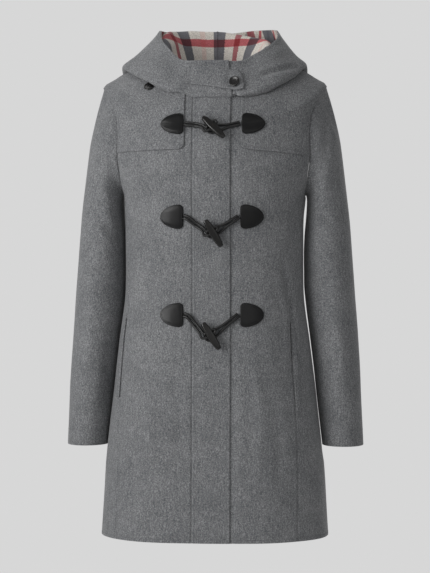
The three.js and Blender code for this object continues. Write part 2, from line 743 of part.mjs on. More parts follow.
// Points away from the lining, to the wool side of the sheet.
function hoodNormal(turn, place, shy = 0) {
  if (place === 0 && Math.abs(turn) < 45) return coatNormal(0, degrees(turn));
  const early = Math.max(0, place - 0.03);
  const late = Math.min(HOOD_END, place + 0.03);
  const along = hoodPoint(turn, late, shy).sub(hoodPoint(turn, early, shy));
  const round = hoodPoint(turn + 0.4, place, shy).sub(hoodPoint(turn - 0.4, place, shy));
  return round.cross(along).normalize();
}

function hoodWall(turns, places, outOf, thickness, edges, shy = 0) {
  const layer = inward => places.map(place => turns.map(turn => {
    const point = hoodPoint(turn, place, shy);
    return point.addScaledVector(hoodNormal(turn, place, shy), outOf(turn, point.x, place) - inward);
  }));
  const outer = layer(0);
  const inner = layer(thickness);
  pullIn(outer, edges);
  pullIn(inner, edges);
  return wallGeometry(outer, inner);
}

// Plan angles, in degrees, of the corners that the panels have along the neck seam.
function neckTurns(side) {
  const inDegrees = angle => (angle * 180) / Math.PI;
  const fixed = side < 0 ? RIGHT_FRONT_X : LEFT_FRONT_X;
  const front = fixed.map(x => Math.abs(inDegrees(angleAtX(0, x))) * Math.sign(x));
  const start = front[front.length - 1];
  for (let i = 1; i <= FRONT_COLUMNS; i++) front.push(mix(start, side * 90, i / FRONT_COLUMNS));
  for (let i = 1; i <= (BACK_COLUMNS - 1) / 2; i++) front.push(side * mix(90, 180, (2 * i) / (BACK_COLUMNS - 1)));
  if (side > 0) return front;
  const placketX = [PLACKET_HALF, 11, RISE_END];
  return [...placketX.map(x => inDegrees(angleAtX(0, x))), ...front];
}

const HOOD_PLACES = [0, 0.6, 1.3, 2, 2.7, 3.5, 4.5, 5.3, 5.8, 6.3, 6.8, 7.4, 8.2, 9.1, 10];

function hoodHalf(side) {
  const turns = neckTurns(side);
  const lap = (turn, x) => {
    if (Math.abs(turn) > 90) return 0;
    return side < 0 ? frontOverlap(x) : frontUnderlap(x);
  };
  return hoodWall(turns, HOOD_PLACES, lap, HOOD_CLOTH, HOOD_EDGES);
}

// The lining keeps inside the wool and turns a little before the wool's fold. In front of
// FACING_TURN the hood is faced with its own wool, so the lining starts there.
const FACING_TURN = 42;
const LINING_SHY = 3;
const LINING_EASE = 0.6;
const LINING_SLACK = 0.6;

function hoodLining(side) {
  const turns = neckTurns(side).filter(turn => Math.abs(turn) > FACING_TURN && turn * side > 0);
  const inside = (turn, x, place) => {
    const lap = side > 0 && Math.abs(turn) < 90 ? frontUnderlap(x) : 0;
    const nearFold = Math.exp(-(((place - 6.4) / 1.7) ** 2));
    const atFold = Math.exp(-(((place - 6.5) / 0.6) ** 2));
    const fold = clamp01((hood.foldReach(turn) - 100) / 12);
    return lap - HOOD_CLOTH - LAYER_GAP - fold * (LINING_EASE * nearFold - LINING_SLACK * atFold);
  };
  return hoodWall(turns, HOOD_PLACES, inside, LINING_CLOTH, HOOD_EDGES, LINING_SHY);
}

// The highest place along the hood's cloth, counted from the rim, that lies at height z.
function hoodOuterPlace(turn, z) {
  let place = HOOD_END;
  while (place > 0 && hoodPoint(turn, place).z > z) place -= 0.05;
  return Math.max(0, place);
}

const TAB_X = [-43, -33, -22, -10, 4, 18, 28, 33, 39, 45, 50, 52.5];
const TAB_LEFT_BOTTOM = -60;
const TAB_RIGHT_BOTTOM = -73.6;
const TAB_WIDTH = 36;
const TAB_CORNER = 9;
const TAB_REACH = 88;

function tabBase(x) {
  const onRight = frontOverlap(x) + 0.8;
  return x <= PLACKET_HALF ? onRight : mix(onRight, 1.8, smooth((x - PLACKET_HALF) / 10));
}

function tabSpot(x, part) {
  const first = TAB_X[0];
  const last = TAB_X[TAB_X.length - 1];
  const slope = (x - first) / (last - first);
  const fromEnd = last - x;
  const round = fromEnd < TAB_CORNER
    ? TAB_CORNER - Math.sqrt(Math.max(0, TAB_CORNER ** 2 - (TAB_CORNER - fromEnd) ** 2)) : 0;
  const bottom = mix(TAB_LEFT_BOTTOM, TAB_RIGHT_BOTTOM, slope) + round;
  const top = mix(TAB_LEFT_BOTTOM, TAB_RIGHT_BOTTOM, slope) + TAB_WIDTH - round;
  const turn = (Math.asin(x / TAB_REACH) * 180) / Math.PI;
  return { turn, place: hoodOuterPlace(turn, mix(bottom, top, part)) };
}

function throatTab() {
  const parts = [0, 0.25, 0.5, 0.75, 1];
  const layer = out => parts.map(part => TAB_X.map(x => {
    const { turn, place } = tabSpot(x, part);
    return hoodPoint(turn, place).addScaledVector(hoodNormal(turn, place), tabBase(x) + out);
  }));
  return wallGeometry(layer(FLAP_CLOTH), layer(0));
}

function toManifold(geometry) {
  const position = geometry.getAttribute('position');
  const merged = new wasm.Mesh({
    numProp: 3,
    vertProperties: Float32Array.from(position.array),
    triVerts: Uint32Array.from(geometry.index.array),
  });
  return new wasm.Manifold(merged);
}

function fromManifold(manifold) {
  const mesh = manifold.getMesh();
  const geometry = new THREE.BufferGeometry();
  geometry.setAttribute('position', new THREE.Float32BufferAttribute([...mesh.vertProperties], 3));
  geometry.setIndex([...mesh.triVerts]);
  return geometry;
}

// A solid of round sections along its own Z, from a list of [z, radius].
function turnedGeometry(profile, sides) {
  const points = [];
  const faces = [];
  for (const [z, radius] of profile) {
    for (let i = 0; i < sides; i++) {
      const turn = (2 * Math.PI * i) / sides;
      points.push(radius * Math.cos(turn), radius * Math.sin(turn), z);
    }
  }
  const last = profile.length - 1;
  for (let r = 0; r < last; r++) {
    for (let i = 0; i < sides; i++) {
      const next = (i + 1) % sides;
      faces.push(r * sides + i, r * sides + next, (r + 1) * sides + next);
      faces.push(r * sides + i, (r + 1) * sides + next, (r + 1) * sides + i);
    }
  }
  for (const end of [0, last]) {
    const centre = points.length / 3;
    points.push(0, 0, profile[end][0]);
    for (let i = 0; i < sides; i++) {
      const next = (i + 1) % sides;
      if (end === 0) faces.push(centre, next, i);
      else faces.push(centre, last * sides + i, last * sides + next);
    }
  }
  return solidGeometry(points, faces);
}

function placed(geometry, origin, xAxis, yAxis, zAxis) {
  const matrix = new THREE.Matrix4().makeBasis(xAxis, yAxis, zAxis).setPosition(origin);
  return geometry.applyMatrix4(matrix);
}

// A round bar that reaches half its length to each side of the origin, to cut a hole with.
function drillSolid(half, radius, sides) {
  return toManifold(turnedGeometry([[-half, radius], [half, radius]], sides));
}

const BUTTON_SIDES = 16;
const HOLE_SIDES = 6;

function buttonGeometry(radius, thickness) {
  const body = turnedGeometry([
    [0, radius * 0.8],
    [thickness * 0.35, radius * 0.97],
    [thickness * 0.8, radius],
    [thickness, radius * 0.93],
    [thickness * 0.98, radius * 0.74],
    [thickness * 0.76, radius * 0.66],
  ], BUTTON_SIDES);
  let solid = toManifold(body);
  for (const [x, y] of [[1, 1], [1, -1], [-1, 1], [-1, -1]]) {
    const drill = drillSolid(thickness * 1.5, radius * 0.1, HOLE_SIDES);
    solid = solid.subtract(drill.translate([x * radius * 0.2, y * radius * 0.2, 0]));
  }
  return fromManifold(solid);
}

const TAB_BUTTON_RADIUS = 9.5;
const TAB_BUTTON_THICKNESS = 3.2;
const TAB_BUTTON_X = 37.8;
const TAB_BUTTON_Z = -55.1;

function frameOn(point, normal) {
  const zAxis = normal.clone();
  const xAxis = new THREE.Vector3(0, 0, 1).cross(zAxis).normalize();
  const yAxis = zAxis.clone().cross(xAxis);
  return { origin: point, xAxis, yAxis, zAxis };
}

function throatButton() {
  const turn = (Math.asin(TAB_BUTTON_X / TAB_REACH) * 180) / Math.PI;
  const place = hoodOuterPlace(turn, TAB_BUTTON_Z);
  const normal = hoodNormal(turn, place);
  const lift = tabBase(TAB_BUTTON_X) + FLAP_CLOTH + LAYER_GAP + 0.5;
  const spot = frameOn(hoodPoint(turn, place).addScaledVector(normal, lift), normal);
  const button = buttonGeometry(TAB_BUTTON_RADIUS, TAB_BUTTON_THICKNESS);
  return placed(button, spot.origin, spot.xAxis, spot.yAxis, spot.zAxis);
}

const NECK_BUTTON_RADIUS = 9;
const NECK_BUTTON_THICKNESS = 2.6;
const NECK_BUTTON_X = -112;
const NECK_BUTTON_Z = -63;

function neckButton() {
  const { height, angle } = frontSpot(NECK_BUTTON_X, NECK_BUTTON_Z);
  const normal = coatNormal(height, angle);
  const lift = YOKE_OUT + LAYER_GAP + 0.2;
  const spot = frameOn(coatPoint(height, angle).addScaledVector(normal, lift), normal);
  const button = buttonGeometry(NECK_BUTTON_RADIUS, NECK_BUTTON_THICKNESS);
  return placed(button, spot.origin, spot.xAxis, spot.yAxis, spot.zAxis);
}

// Three closures. Patches lie level; each toggle hangs down to the wearer's left.
const CLOSURES = [
  { name: 'top', z: -132, under: YOKE_OUT, rightX: 48, leftX: 52.5, halfTall: 18.5, toggleX: 4.5,
    toggleZ: -143, toggleTilt: 47 },
  { name: 'middle', z: -293, under: 0, rightX: 48.5, leftX: 50.5, halfTall: 21, toggleX: 4.8,
    toggleZ: -321, toggleTilt: 59 },
  { name: 'bottom', z: -463.5, under: 0, rightX: 48.5, leftX: 50, halfTall: 21, toggleX: 1,
    toggleZ: -500, toggleTilt: 58 },
];
const PATCH_LONG = 40;
const PATCH_THICK = 2.2;
const PATCH_DOME = 1.0;
const PATCH_PARTS = [0, 0.25, 0.5, 0.72, 0.87, 0.96, 1];
const PATCH_ACROSS = [-1, -0.6, 0, 0.6, 1];
const PATCH_TIP = 0.16;

function patchPiece(closure, side) {
  const flatX = side < 0 ? closure.rightX : closure.leftX;
  const tall = part => {
    const fall = clamp01((part - 0.18) / 0.82);
    return closure.halfTall * mix(Math.sqrt(1 - fall ** 2.1), 1, part >= 1 ? PATCH_TIP : 0)
      * (part < 0.01 ? 0.93 : 1);
  };
  const layer = out => PATCH_ACROSS.map(across => PATCH_PARTS.map(part => {
    const half = Math.max(tall(part), closure.halfTall * PATCH_TIP);
    const spot = frontSpot(side * (flatX + PATCH_LONG * part), closure.z + across * half);
    const edge = Math.min(1 - Math.abs(across), 1 - part, part + 0.35);
    const dome = out > 0 ? PATCH_DOME * Math.sqrt(clamp01(edge * 2.2)) : 0;
    const normal = coatNormal(spot.height, spot.angle);
    const lift = closure.under + LAYER_GAP + 0.3 + out + dome;
    return coatPoint(spot.height, spot.angle).addScaledVector(normal, lift);
  }));
  return wallGeometry(layer(PATCH_THICK), layer(0));
}

const CORD_RADIUS = 2.3;
const CORD_SIDES = 8;
const DRILL_SIDES = 12;
const CORD_LAY = CORD_RADIUS + LAYER_GAP + 0.5;
const LOOP_LEVEL = PLACKET_RISE + CORD_LAY;
const TOGGLE_LEVEL = LOOP_LEVEL + CORD_RADIUS + LAYER_GAP + 6.3;
const HOLE_SPACING = 3.5;
const HOLE_MIDDLE = -5;
const TOGGLE_PROFILE = [
  [-27, 2.2], [-25.8, 3.6], [-21, 4.5], [-12, 5.6], [0, 6.1], [12, 5.6], [21, 4.5], [25.8, 3.6], [27, 2.2],
];
const TOGGLE_SIDES = 12;

// A round cord along a smooth path, with flat ends.
function cordGeometry(path, steps) {
  const curve = new THREE.CatmullRomCurve3(path, false, 'centripetal');
  const stops = curve.getSpacedPoints(steps);
  const points = [];
  const faces = [];
  let across = new THREE.Vector3(0, -1, 0);
  stops.forEach((stop, i) => {
    const before = stops[Math.max(0, i - 1)];
    const after = stops[Math.min(stops.length - 1, i + 1)];
    const along = after.clone().sub(before).normalize();
    across = across.clone().addScaledVector(along, -across.dot(along)).normalize();
    const other = along.clone().cross(across);
    for (let k = 0; k < CORD_SIDES; k++) {
      const turn = (2 * Math.PI * k) / CORD_SIDES;
      const point = stop.clone().addScaledVector(across, CORD_RADIUS * Math.cos(turn))
        .addScaledVector(other, CORD_RADIUS * Math.sin(turn));
      points.push(point.x, point.y, point.z);
    }
  });
  const last = stops.length - 1;
  for (let i = 0; i < last; i++) {
    for (let k = 0; k < CORD_SIDES; k++) {
      const next = (k + 1) % CORD_SIDES;
      faces.push(i * CORD_SIDES + k, i * CORD_SIDES + next, (i + 1) * CORD_SIDES + next);
      faces.push(i * CORD_SIDES + k, (i + 1) * CORD_SIDES + next, (i + 1) * CORD_SIDES + k);
    }
  }
  for (let k = 1; k < CORD_SIDES - 1; k++) {
    faces.push(0, k + 1, k);
    faces.push(last * CORD_SIDES, last * CORD_SIDES + k, last * CORD_SIDES + k + 1);
  }
  return solidGeometry(points, faces);
}

// The toggle's middle on the cloth, its long way, the way its holes run and outward.
function toggleFrame(closure) {
  const { height, angle } = frontSpot(closure.toggleX, closure.toggleZ);
  const outward = coatNormal(height, angle);
  const tilt = degrees(closure.toggleTilt);
  const long = new THREE.Vector3(Math.cos(tilt), 0, -Math.sin(tilt));
  long.addScaledVector(outward, -long.dot(outward)).normalize();
  const through = outward.clone().cross(long).normalize();
  if (through.x < 0) through.negate();
  const middle = coatPoint(height, angle);
  return { middle, outward, long, through };
}

function togglePiece(closure) {
  const { middle, outward, long, through } = toggleFrame(closure);
  let solid = toManifold(turnedGeometry(TOGGLE_PROFILE, TOGGLE_SIDES));
  for (const side of [-1, 1]) {
    const drill = drillSolid(15, CORD_RADIUS + 0.5, DRILL_SIDES).rotate([0, 90, 0]);
    solid = solid.subtract(drill.translate([0, 0, HOLE_MIDDLE + side * HOLE_SPACING]));
  }
  const origin = middle.clone().addScaledVector(outward, TOGGLE_LEVEL);
  return placed(fromManifold(solid), origin, through, long.clone().cross(through), long);
}

function clothPoint(x, z, out) {
  const { height, angle } = frontSpot(x, z);
  return coatPoint(height, angle).addScaledVector(coatNormal(height, angle), out);
}

// From the wearer's right patch through both holes of the toggle and back. Its two strands keep
// beside each other along one middle line, so they never run into each other.
const STRAND_HALF = 2.65;

function toggleCord(closure) {
  const { middle, outward, long, through } = toggleFrame(closure);
  const patchX = -(closure.rightX - 1.5);
  const onPlacket = Math.max(closure.under, PLACKET_RISE) + CORD_LAY + 0.6;
  const at = (across, along) => middle.clone().addScaledVector(outward, TOGGLE_LEVEL)
    .addScaledVector(through, across).addScaledVector(long, HOLE_MIDDLE + along);
  const entry = at(-14.5, 0).addScaledVector(outward, -2.2);
  const leaveX = patchX + 7;
  const leaveZ = closure.z - 2;
  const outside = [
    clothPoint(patchX, closure.z, closure.under + CORD_LAY),
    clothPoint(leaveX, leaveZ, onPlacket),
    clothPoint(mix(leaveX, entry.x, 0.5), mix(leaveZ, entry.z, 0.45), onPlacket + 0.8),
    entry,
    at(-10.5, 0),
  ];
  const strand = sign => {
    const points = outside.slice(0, -1).map((point, i) => {
      const before = outside[Math.max(0, i - 1)];
      const beside = outside[i + 1].clone().sub(before).cross(outward).normalize();
      const half = i < 3 ? STRAND_HALF : (STRAND_HALF + HOLE_SPACING) / 2;
      return point.clone().addScaledVector(beside, sign * half);
    });
    return [...points, ...[-10.5, -8, 0, 7].map(across => at(across, sign * HOLE_SPACING))];
  };
  const turnBack = [at(10.2, HOLE_SPACING * 0.62), at(10.2, -HOLE_SPACING * 0.62)];
  return cordGeometry([...strand(1), ...turnBack, ...strand(-1).reverse()], 32);
}

// From the wearer's left patch under the toggle, round the other cord and back.
function loopCord(closure) {
  const { middle } = toggleFrame(closure);
  const patchX = closure.leftX - 3.1;
  const spanX = patchX - middle.x;
  const spanZ = closure.z - middle.z;
  const long = Math.hypot(spanX, spanZ);
  const strand = (along, half, out) => {
    const x = middle.x + (spanX * along - spanZ * half) / long;
    const z = middle.z + (spanZ * along + spanX * half) / long;
    return clothPoint(x, z, out);
  };
  const leg = sign => [
    strand(long, sign * 2.6, closure.under + CORD_LAY),
    strand(long - 8, sign * 2.6, Math.max(closure.under + CORD_LAY, LOOP_LEVEL)),
    strand(long * 0.5, sign * 2.8, LOOP_LEVEL),
    strand(9, sign * 5.2, LOOP_LEVEL),
    strand(0, sign * 5.8, LOOP_LEVEL),
    strand(-7, sign * 4.2, LOOP_LEVEL),
  ];
  return cordGeometry([...leg(1), strand(-10.5, 0, LOOP_LEVEL), ...leg(-1).reverse()], 25);
}

// A narrow edge of doubled cloth beside the slit of each pocket, on the side panel.
const WELT_WIDE = 6;
const WELT_THICK = 1.4;
const WELT_RIGHT = [-610, -470];
const WELT_LEFT = [-632, -478];

function pocketWelt(side) {
  const [bottom, top] = side < 0 ? WELT_RIGHT : WELT_LEFT;
  const { lead } = seamLead(side);
  const heights = [bottom, ...LOW_ROWS.filter(h => h > bottom + 5 && h < top - 5), top];
  const spots = heights.map(height => [0.4, WELT_WIDE / 2, WELT_WIDE].map(back => ({
    height,
    angle: angleAtY(height, -lead(height) + back * 1.15, side),
    out: LAYER_GAP + 0.3 + WELT_THICK,
  })));
  return coatWall(spots, WELT_THICK, FREE_EDGES);
}

const WOOL = { color: 0x6a6b6d, roughness: 0.95, metalness: 0 };
const PLAID = { color: 0xc9c0b7, roughness: 0.9, metalness: 0 };
const LEATHER = { color: 0x1b1b1d, roughness: 0.5, metalness: 0 };
const CORD = { color: 0x141415, roughness: 0.8, metalness: 0 };
const HORN = { color: 0x17130f, roughness: 0.25, metalness: 0 };

const coat = new THREE.Group();

function add(name, geometry, look) {
  const mesh = new THREE.Mesh(geometry, new THREE.MeshStandardMaterial(look));
  mesh.name = name;
  coat.add(mesh);
}

add('front_right', frontPanel(-1), WOOL);
add('front_left', frontPanel(1), WOOL);
add('side_right', sidePanel(-1), WOOL);
add('side_left', sidePanel(1), WOOL);
add('back', backPanel(), WOOL);
add('placket', placket(), WOOL);
for (const [name, side] of [['right', -1], ['left', 1]]) {
  const sleeveCloth = sleevePiece(side);
  const hoodCloth = hoodHalf(side);
  add(`yoke_${name}`, yoke(side), WOOL);
  add(`sleeve_${name}`, sleeveCloth, WOOL);
  add(`hood_${name}`, hoodCloth, WOOL);
  add(`hood_lining_${name}`, hoodLining(side), PLAID);
}
add('throat_tab', throatTab(), WOOL);
add('throat_button', throatButton(), HORN);
add('neck_button', neckButton(), HORN);
for (const closure of CLOSURES) {
  add(`patch_${closure.name}_right`, patchPiece(closure, -1), LEATHER);
  add(`patch_${closure.name}_left`, patchPiece(closure, 1), LEATHER);
  add(`toggle_cord_${closure.name}`, toggleCord(closure), CORD);
  add(`loop_cord_${closure.name}`, loopCord(closure), CORD);
  add(`toggle_${closure.name}`, togglePiece(closure), HORN);
}
add('pocket_welt_right', pocketWelt(-1), WOOL);
add('pocket_welt_left', pocketWelt(1), WOOL);

export default coat;
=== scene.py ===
"""A hooded duffle coat with nobody in it. Table lengths are millimetres, turned to metres by MM."""

import math

import bmesh
import bpy
import numpy as np
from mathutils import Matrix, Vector


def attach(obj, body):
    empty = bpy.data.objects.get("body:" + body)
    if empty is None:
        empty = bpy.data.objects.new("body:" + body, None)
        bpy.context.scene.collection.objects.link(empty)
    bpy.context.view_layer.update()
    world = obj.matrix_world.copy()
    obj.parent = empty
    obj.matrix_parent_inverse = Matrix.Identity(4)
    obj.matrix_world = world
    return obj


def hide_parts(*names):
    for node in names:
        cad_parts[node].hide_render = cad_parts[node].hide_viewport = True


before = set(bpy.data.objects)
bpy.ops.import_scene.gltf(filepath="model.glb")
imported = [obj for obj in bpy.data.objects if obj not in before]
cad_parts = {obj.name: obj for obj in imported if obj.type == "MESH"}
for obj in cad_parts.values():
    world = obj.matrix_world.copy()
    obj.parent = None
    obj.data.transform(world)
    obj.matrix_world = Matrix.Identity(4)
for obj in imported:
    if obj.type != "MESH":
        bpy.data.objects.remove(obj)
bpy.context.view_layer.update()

MM = 0.001

# Surface of the coat: the same rings, folds and seams as the solids have.
COAT_LENGTH = 857
CLOTH = 2.4
FLAP_CLOTH = 2.2
HOOD_CLOTH = 1.8
LINING_CLOTH = 1.0
SEAM_HALF_GAP = 0.15
LAYER_GAP = 0.3
TRIM_GAP = 0.3

RING_COLUMNS = ("height", "front", "back", "half", "chest", "rear", "square")
RINGS = [
    (-COAT_LENGTH, -COAT_LENGTH, -COAT_LENGTH, 203.4, 135, 125, 2.45),
    (-703, -703, -703, 194, 130, 120, 2.45),
    (-618, -618, -618, 184.5, 126, 117, 2.45),
    (-510, -510, -510, 172, 120, 108, 2.45),
    (-418, -418, -418, 161, 116, 99, 2.45),
    (-350, -350, -350, 160.5, 117, 99, 2.45),
    (-252, -252, -252, 163, 125, 112, 2.4),
    (-232, -232, -232, 171.8, 124.5, 113.5, 2.3),
    (-215, -215, -215, 180, 123.5, 114.5, 2.2),
    (-182, -182, -182, 194.6, 122, 115, 2.05),
    (-153, -165, -154, 196.6, 121, 114, 2),
    (-120, -154.5, -130, 196, 118.5, 111, 2),
    (-86, -144, -112, 192.5, 115, 106, 2),
    (-65, -138, -101, 194.5, 113, 102, 2),
    (-55, -135, -95, 199, 112, 100, 2),
    (-42, -122, -80, 180, 110, 95, 2),
    (-31, -112, -65, 163, 108, 88, 2),
    (-17, -98, -45, 130, 103, 78, 2),
    (0, -83, -20, 85, 97, 62, 2),
]
RING_TILT = 1.35

# Soft folds of the body: degrees round, drift, spread, millimetres of swell, top and bottom.
BODY_FOLDS = [
    (-38, -4, 13, 3.6, -330, -700),
    (-66, -3, 9, -2.2, -420, -760),
    (37, 5, 12, 3.2, -300, -640),
    (58, -3, 9, -3.0, -270, -520),
    (150, 4, 13, 3.4, -300, -700),
    (-157, -5, 12, 3.8, -340, -720),
    (176, 2, 10, -2.6, -380, -760),
]

ARMHOLE_TOP = -55
ARMHOLE_BOTTOM = -252
ARMHOLE_FRONT = 62
ARMHOLE_BACK = 60
ARMHOLE_SQUARE = 2.3
ARMHOLE_MIDDLE = (ARMHOLE_TOP + ARMHOLE_BOTTOM) / 2
ARMHOLE_REACH = (ARMHOLE_TOP - ARMHOLE_BOTTOM) / 2

SEAM_LEAD = {
    -1: [(-COAT_LENGTH, 86), (-774, 85), (-606, 68), (-468, 59), (-350, 50)],
    1: [(-COAT_LENGTH, 103), (-628, 90), (-478, 78), (-425, 69), (-379, 58), (-276, 38)],
}
SEAM_TOP_LEAD = {-1: 40, 1: 35}
BACK_SEAM_LAG = [(-COAT_LENGTH, 76), (-600, 65), (-400, 50), (-300, 45)]
BACK_SEAM_TOP_LAG = 40
LOW_TOP = -300
SHOULDER_TOP = 0

PLACKET_HALF = 33
PLACKET_RISE = 1.6
RISE_START = -33
RISE_END = -10
UNDERLAP_EDGE = -8
UNDERLAP_DIP = -1.1
DIP_START = 37
DIP_END = 50
YOKE_EDGE = {-1: 47, 1: 51}
YOKE_FRONT_BOTTOM = -173
YOKE_OUTER_BOTTOM = {-1: -177, 1: -185}
YOKE_CORNER = 13
YOKE_SEWN_OUT = 1.7
YOKE_SEWN_THICK = 1.3
YOKE_OUT = LAYER_GAP + FLAP_CLOTH
YOKE_TOP = -5

# Spacing of the fine grids, and the closer lines beside an edge.
GRID_STEP = 4.6
EDGE_LINES = (0.3, 0.8, 1.5, 2.6, 4.0, 5.4, 6.6, 8.2)


def clamp01(value):
    return np.clip(value, 0.0, 1.0)


def mix(first, second, part):
    return first + (second - first) * part


def smooth(value):
    part = clamp01(value)
    return part * part * (3 - 2 * part)


def hump(away, spread):
    return np.exp(-((away / spread) ** 2))


def unit(vectors):
    return vectors / np.maximum(np.linalg.norm(vectors, axis=-1, keepdims=True), 1e-9)


def round_turns(count):
    return np.arange(count) * 2 * np.pi / count


def oval(share, power):
    """How far an oval reaches one way, as a share, where share is gone the other way."""
    return (1 - share**power) ** (1 / power)


def wrapped(degrees):
    """Degrees brought between -180 and 180."""
    return degrees - 360 * np.round(degrees / 360)


def rounding(distance, radius):
    """What a round corner takes off a straight edge at a distance from its end."""
    left = radius - np.minimum(distance, radius)
    return radius - np.sqrt(np.maximum(0, radius**2 - left**2))


def read_between(at, gone, values):
    """Values at places along a line, from those at the distances gone."""
    return np.stack([np.interp(at, gone, values[:, i]) for i in range(3)], -1)


def halved(low, high, steps, too_high):
    """Narrows a span of places by halves round where too_high begins to hold."""
    for _ in range(steps):
        middle = (low + high) / 2
        over = too_high(middle)
        high, low = np.where(over, middle, high), np.where(over, low, middle)
    return low, high


def tube_faces(rings, sides):
    """Quads between rings of vertices that follow one another."""
    faces = []
    for low in range(0, (rings - 1) * sides, sides):
        for i in range(sides):
            j = (i + 1) % sides
            faces.append((low + i, low + j, low + sides + j, low + sides + i))
    return faces


def curve_through(knots, values):
    """A smooth curve through a table that never swings past its values."""
    knots, values = np.array(knots, float), np.array(values, float)
    steps = np.diff(knots)
    rises = np.diff(values) / steps
    slopes = np.zeros_like(values)
    slopes[0], slopes[-1] = rises[0], rises[-1]
    before, after = 2 * steps[1:] + steps[:-1], steps[1:] + 2 * steps[:-1]
    for i in range(1, len(values) - 1):
        if rises[i - 1] * rises[i] > 0:
            weight = before[i - 1] / rises[i - 1] + after[i - 1] / rises[i]
            slopes[i] = (before[i - 1] + after[i - 1]) / weight

    def at(place):
        place = np.asarray(place, float)
        i = np.clip(np.searchsorted(knots, place) - 1, 0, len(steps) - 1)
        whole = (place - knots[i]) / steps[i]
        t = clamp01(whole)
        value = (
            values[i] * (2 * t**3 - 3 * t**2 + 1)
            + slopes[i] * steps[i] * (t**3 - 2 * t**2 + t)
            + values[i + 1] * (3 * t**2 - 2 * t**3)
            + slopes[i + 1] * steps[i] * (t**3 - t**2)
        )
        value = value + np.minimum(place - knots[0], 0) * slopes[0]
        return value + np.maximum(place - knots[-1], 0) * slopes[-1]

    return at


def read_table(columns, rows):
    rows = sorted(rows)
    knots = [row[0] for row in rows]
    return {name: curve_through(knots, [row[i] for row in rows]) for i, name in enumerate(columns)}


RING = read_table(RING_COLUMNS, RINGS)


def body_fold(height, angle):
    total = 0
    for centre, drift, spread, swell, top, bottom in BODY_FOLDS:
        fall = smooth((top - height) / (top - bottom))
        hang = clamp01((top - height) / COAT_LENGTH)
        away = wrapped(np.degrees(angle) - centre - drift * hang)
        total = total + swell * fall * np.exp(-(away**2) / (2 * spread**2))
    return total


def coat_point(height, angle):
    height, angle = np.broadcast_arrays(np.asarray(height, float), angle)
    sine, cosine = np.sin(angle), np.cos(angle)
    in_front = cosine > 0
    depth = np.where(in_front, RING["chest"](height), RING["rear"](height))
    power = RING["square"](height)
    reach = np.abs(sine / RING["half"](height)) ** power + np.abs(cosine / depth) ** power
    reach = reach ** (-1 / power)
    edge = np.where(in_front, RING["front"](height), RING["back"](height))
    z = height + (edge - height) * np.abs(reach * cosine / depth) ** RING_TILT
    swollen = reach + body_fold(height, angle)
    return np.stack([swollen * sine, -swollen * cosine, z], -1)


def coat_normal(height, angle):
    up = coat_point(height + 0.5, angle) - coat_point(height - 0.5, angle)
    round_it = coat_point(height, angle + 0.004) - coat_point(height, angle - 0.004)
    return unit(np.cross(round_it, up))


def angle_at_x(height, x):
    share = np.minimum(1, np.abs(x) / RING["half"](height))
    return np.arctan2(x, RING["chest"](height) * oval(share, RING["square"](height)))


def angle_at_y(height, y, side):
    depth = np.where(y < 0, RING["chest"](height), RING["rear"](height))
    share = np.minimum(1, np.abs(y) / depth)
    return np.arctan2(side * RING["half"](height) * oval(share, RING["square"](height)), -y)


def front_spot(x, z):
    """Ring height and angle of the point of the coat's front that is seen at x, z."""
    x, z = np.broadcast_arrays(np.asarray(x, float), np.asarray(z, float))
    low, high = halved(
        np.full(x.shape, -float(COAT_LENGTH)),
        np.zeros(x.shape),
        40,
        lambda height: coat_point(height, angle_at_x(height, x))[..., 2] > z,
    )
    height = (low + high) / 2
    return height, angle_at_x(height, x)


def armhole_depth(height, back):
    share = np.minimum(1, np.abs((height - ARMHOLE_MIDDLE) / ARMHOLE_REACH))
    reach = ARMHOLE_BACK if back else -ARMHOLE_FRONT
    return reach * oval(share, ARMHOLE_SQUARE)


def armhole_floor(y):
    share = np.abs(y) / np.where(np.asarray(y) > 0, ARMHOLE_BACK, ARMHOLE_FRONT)
    return ARMHOLE_MIDDLE - ARMHOLE_REACH * oval(share, ARMHOLE_SQUARE)


def seam_lead(side):
    top = SEAM_TOP_LEAD[side]
    meet = float(armhole_floor(-top))
    return meet, read_table(("height", "lead"), [*SEAM_LEAD[side], (meet, top)])["lead"]


BACK_MEET = float(armhole_floor(BACK_SEAM_TOP_LAG))
BACK_LAG = read_table(("height", "lag"), [*BACK_SEAM_LAG, (BACK_MEET, BACK_SEAM_TOP_LAG)])["lag"]


def front_overlap(x):
    return PLACKET_RISE * clamp01((x - RISE_START) / (RISE_END - RISE_START))


def front_underlap(x):
    return UNDERLAP_DIP * (1 - smooth((x - DIP_START) / (DIP_END - DIP_START)))


def spaced(start, stop, step=GRID_STEP, at_start=EDGE_LINES, at_stop=EDGE_LINES):
    """Places from start to stop, with closer ones beside each end."""
    long = abs(stop - start)
    count = max(2, math.ceil(long / step))
    even = np.linspace(0, long, count + 1)
    close = [line for line in at_start if line < long * 0.45]
    close += [long - line for line in at_stop if line < long * 0.45]
    kept = [
        place
        for place in even
        if place in (0, long) or all(abs(place - other) > step * 0.3 for other in close)
    ]
    return start + math.copysign(1, stop - start) * np.array(sorted(kept + close))


# Creases pressed and pulled into the cloth, as the camera sees them, in pixels of the photo's
# frame: from, to, half width and depth in millimetres. A negative depth is a ridge.
FRONT_CREASES = [
    (282, 262, 291, 385, 5.0, 3.4),
    (297, 214, 284, 258, 5.5, 2.5),
    (140, 226, 150, 268, 7.0, 1.2),
    (128, 250, 141, 300, 5.0, -0.9),
    (172, 370, 176, 470, 9.0, 1.2),
    (148, 380, 140, 485, 11.0, -1.5),
    (252, 350, 254, 500, 8.0, -1.4),
    (271, 390, 276, 505, 9.0, 1.5),
    (205, 400, 204, 452, 8.0, -0.5),
    (255, 175, 262, 208, 8.0, 0.9),
    (127, 420, 131, 500, 6.0, 1.0),
]
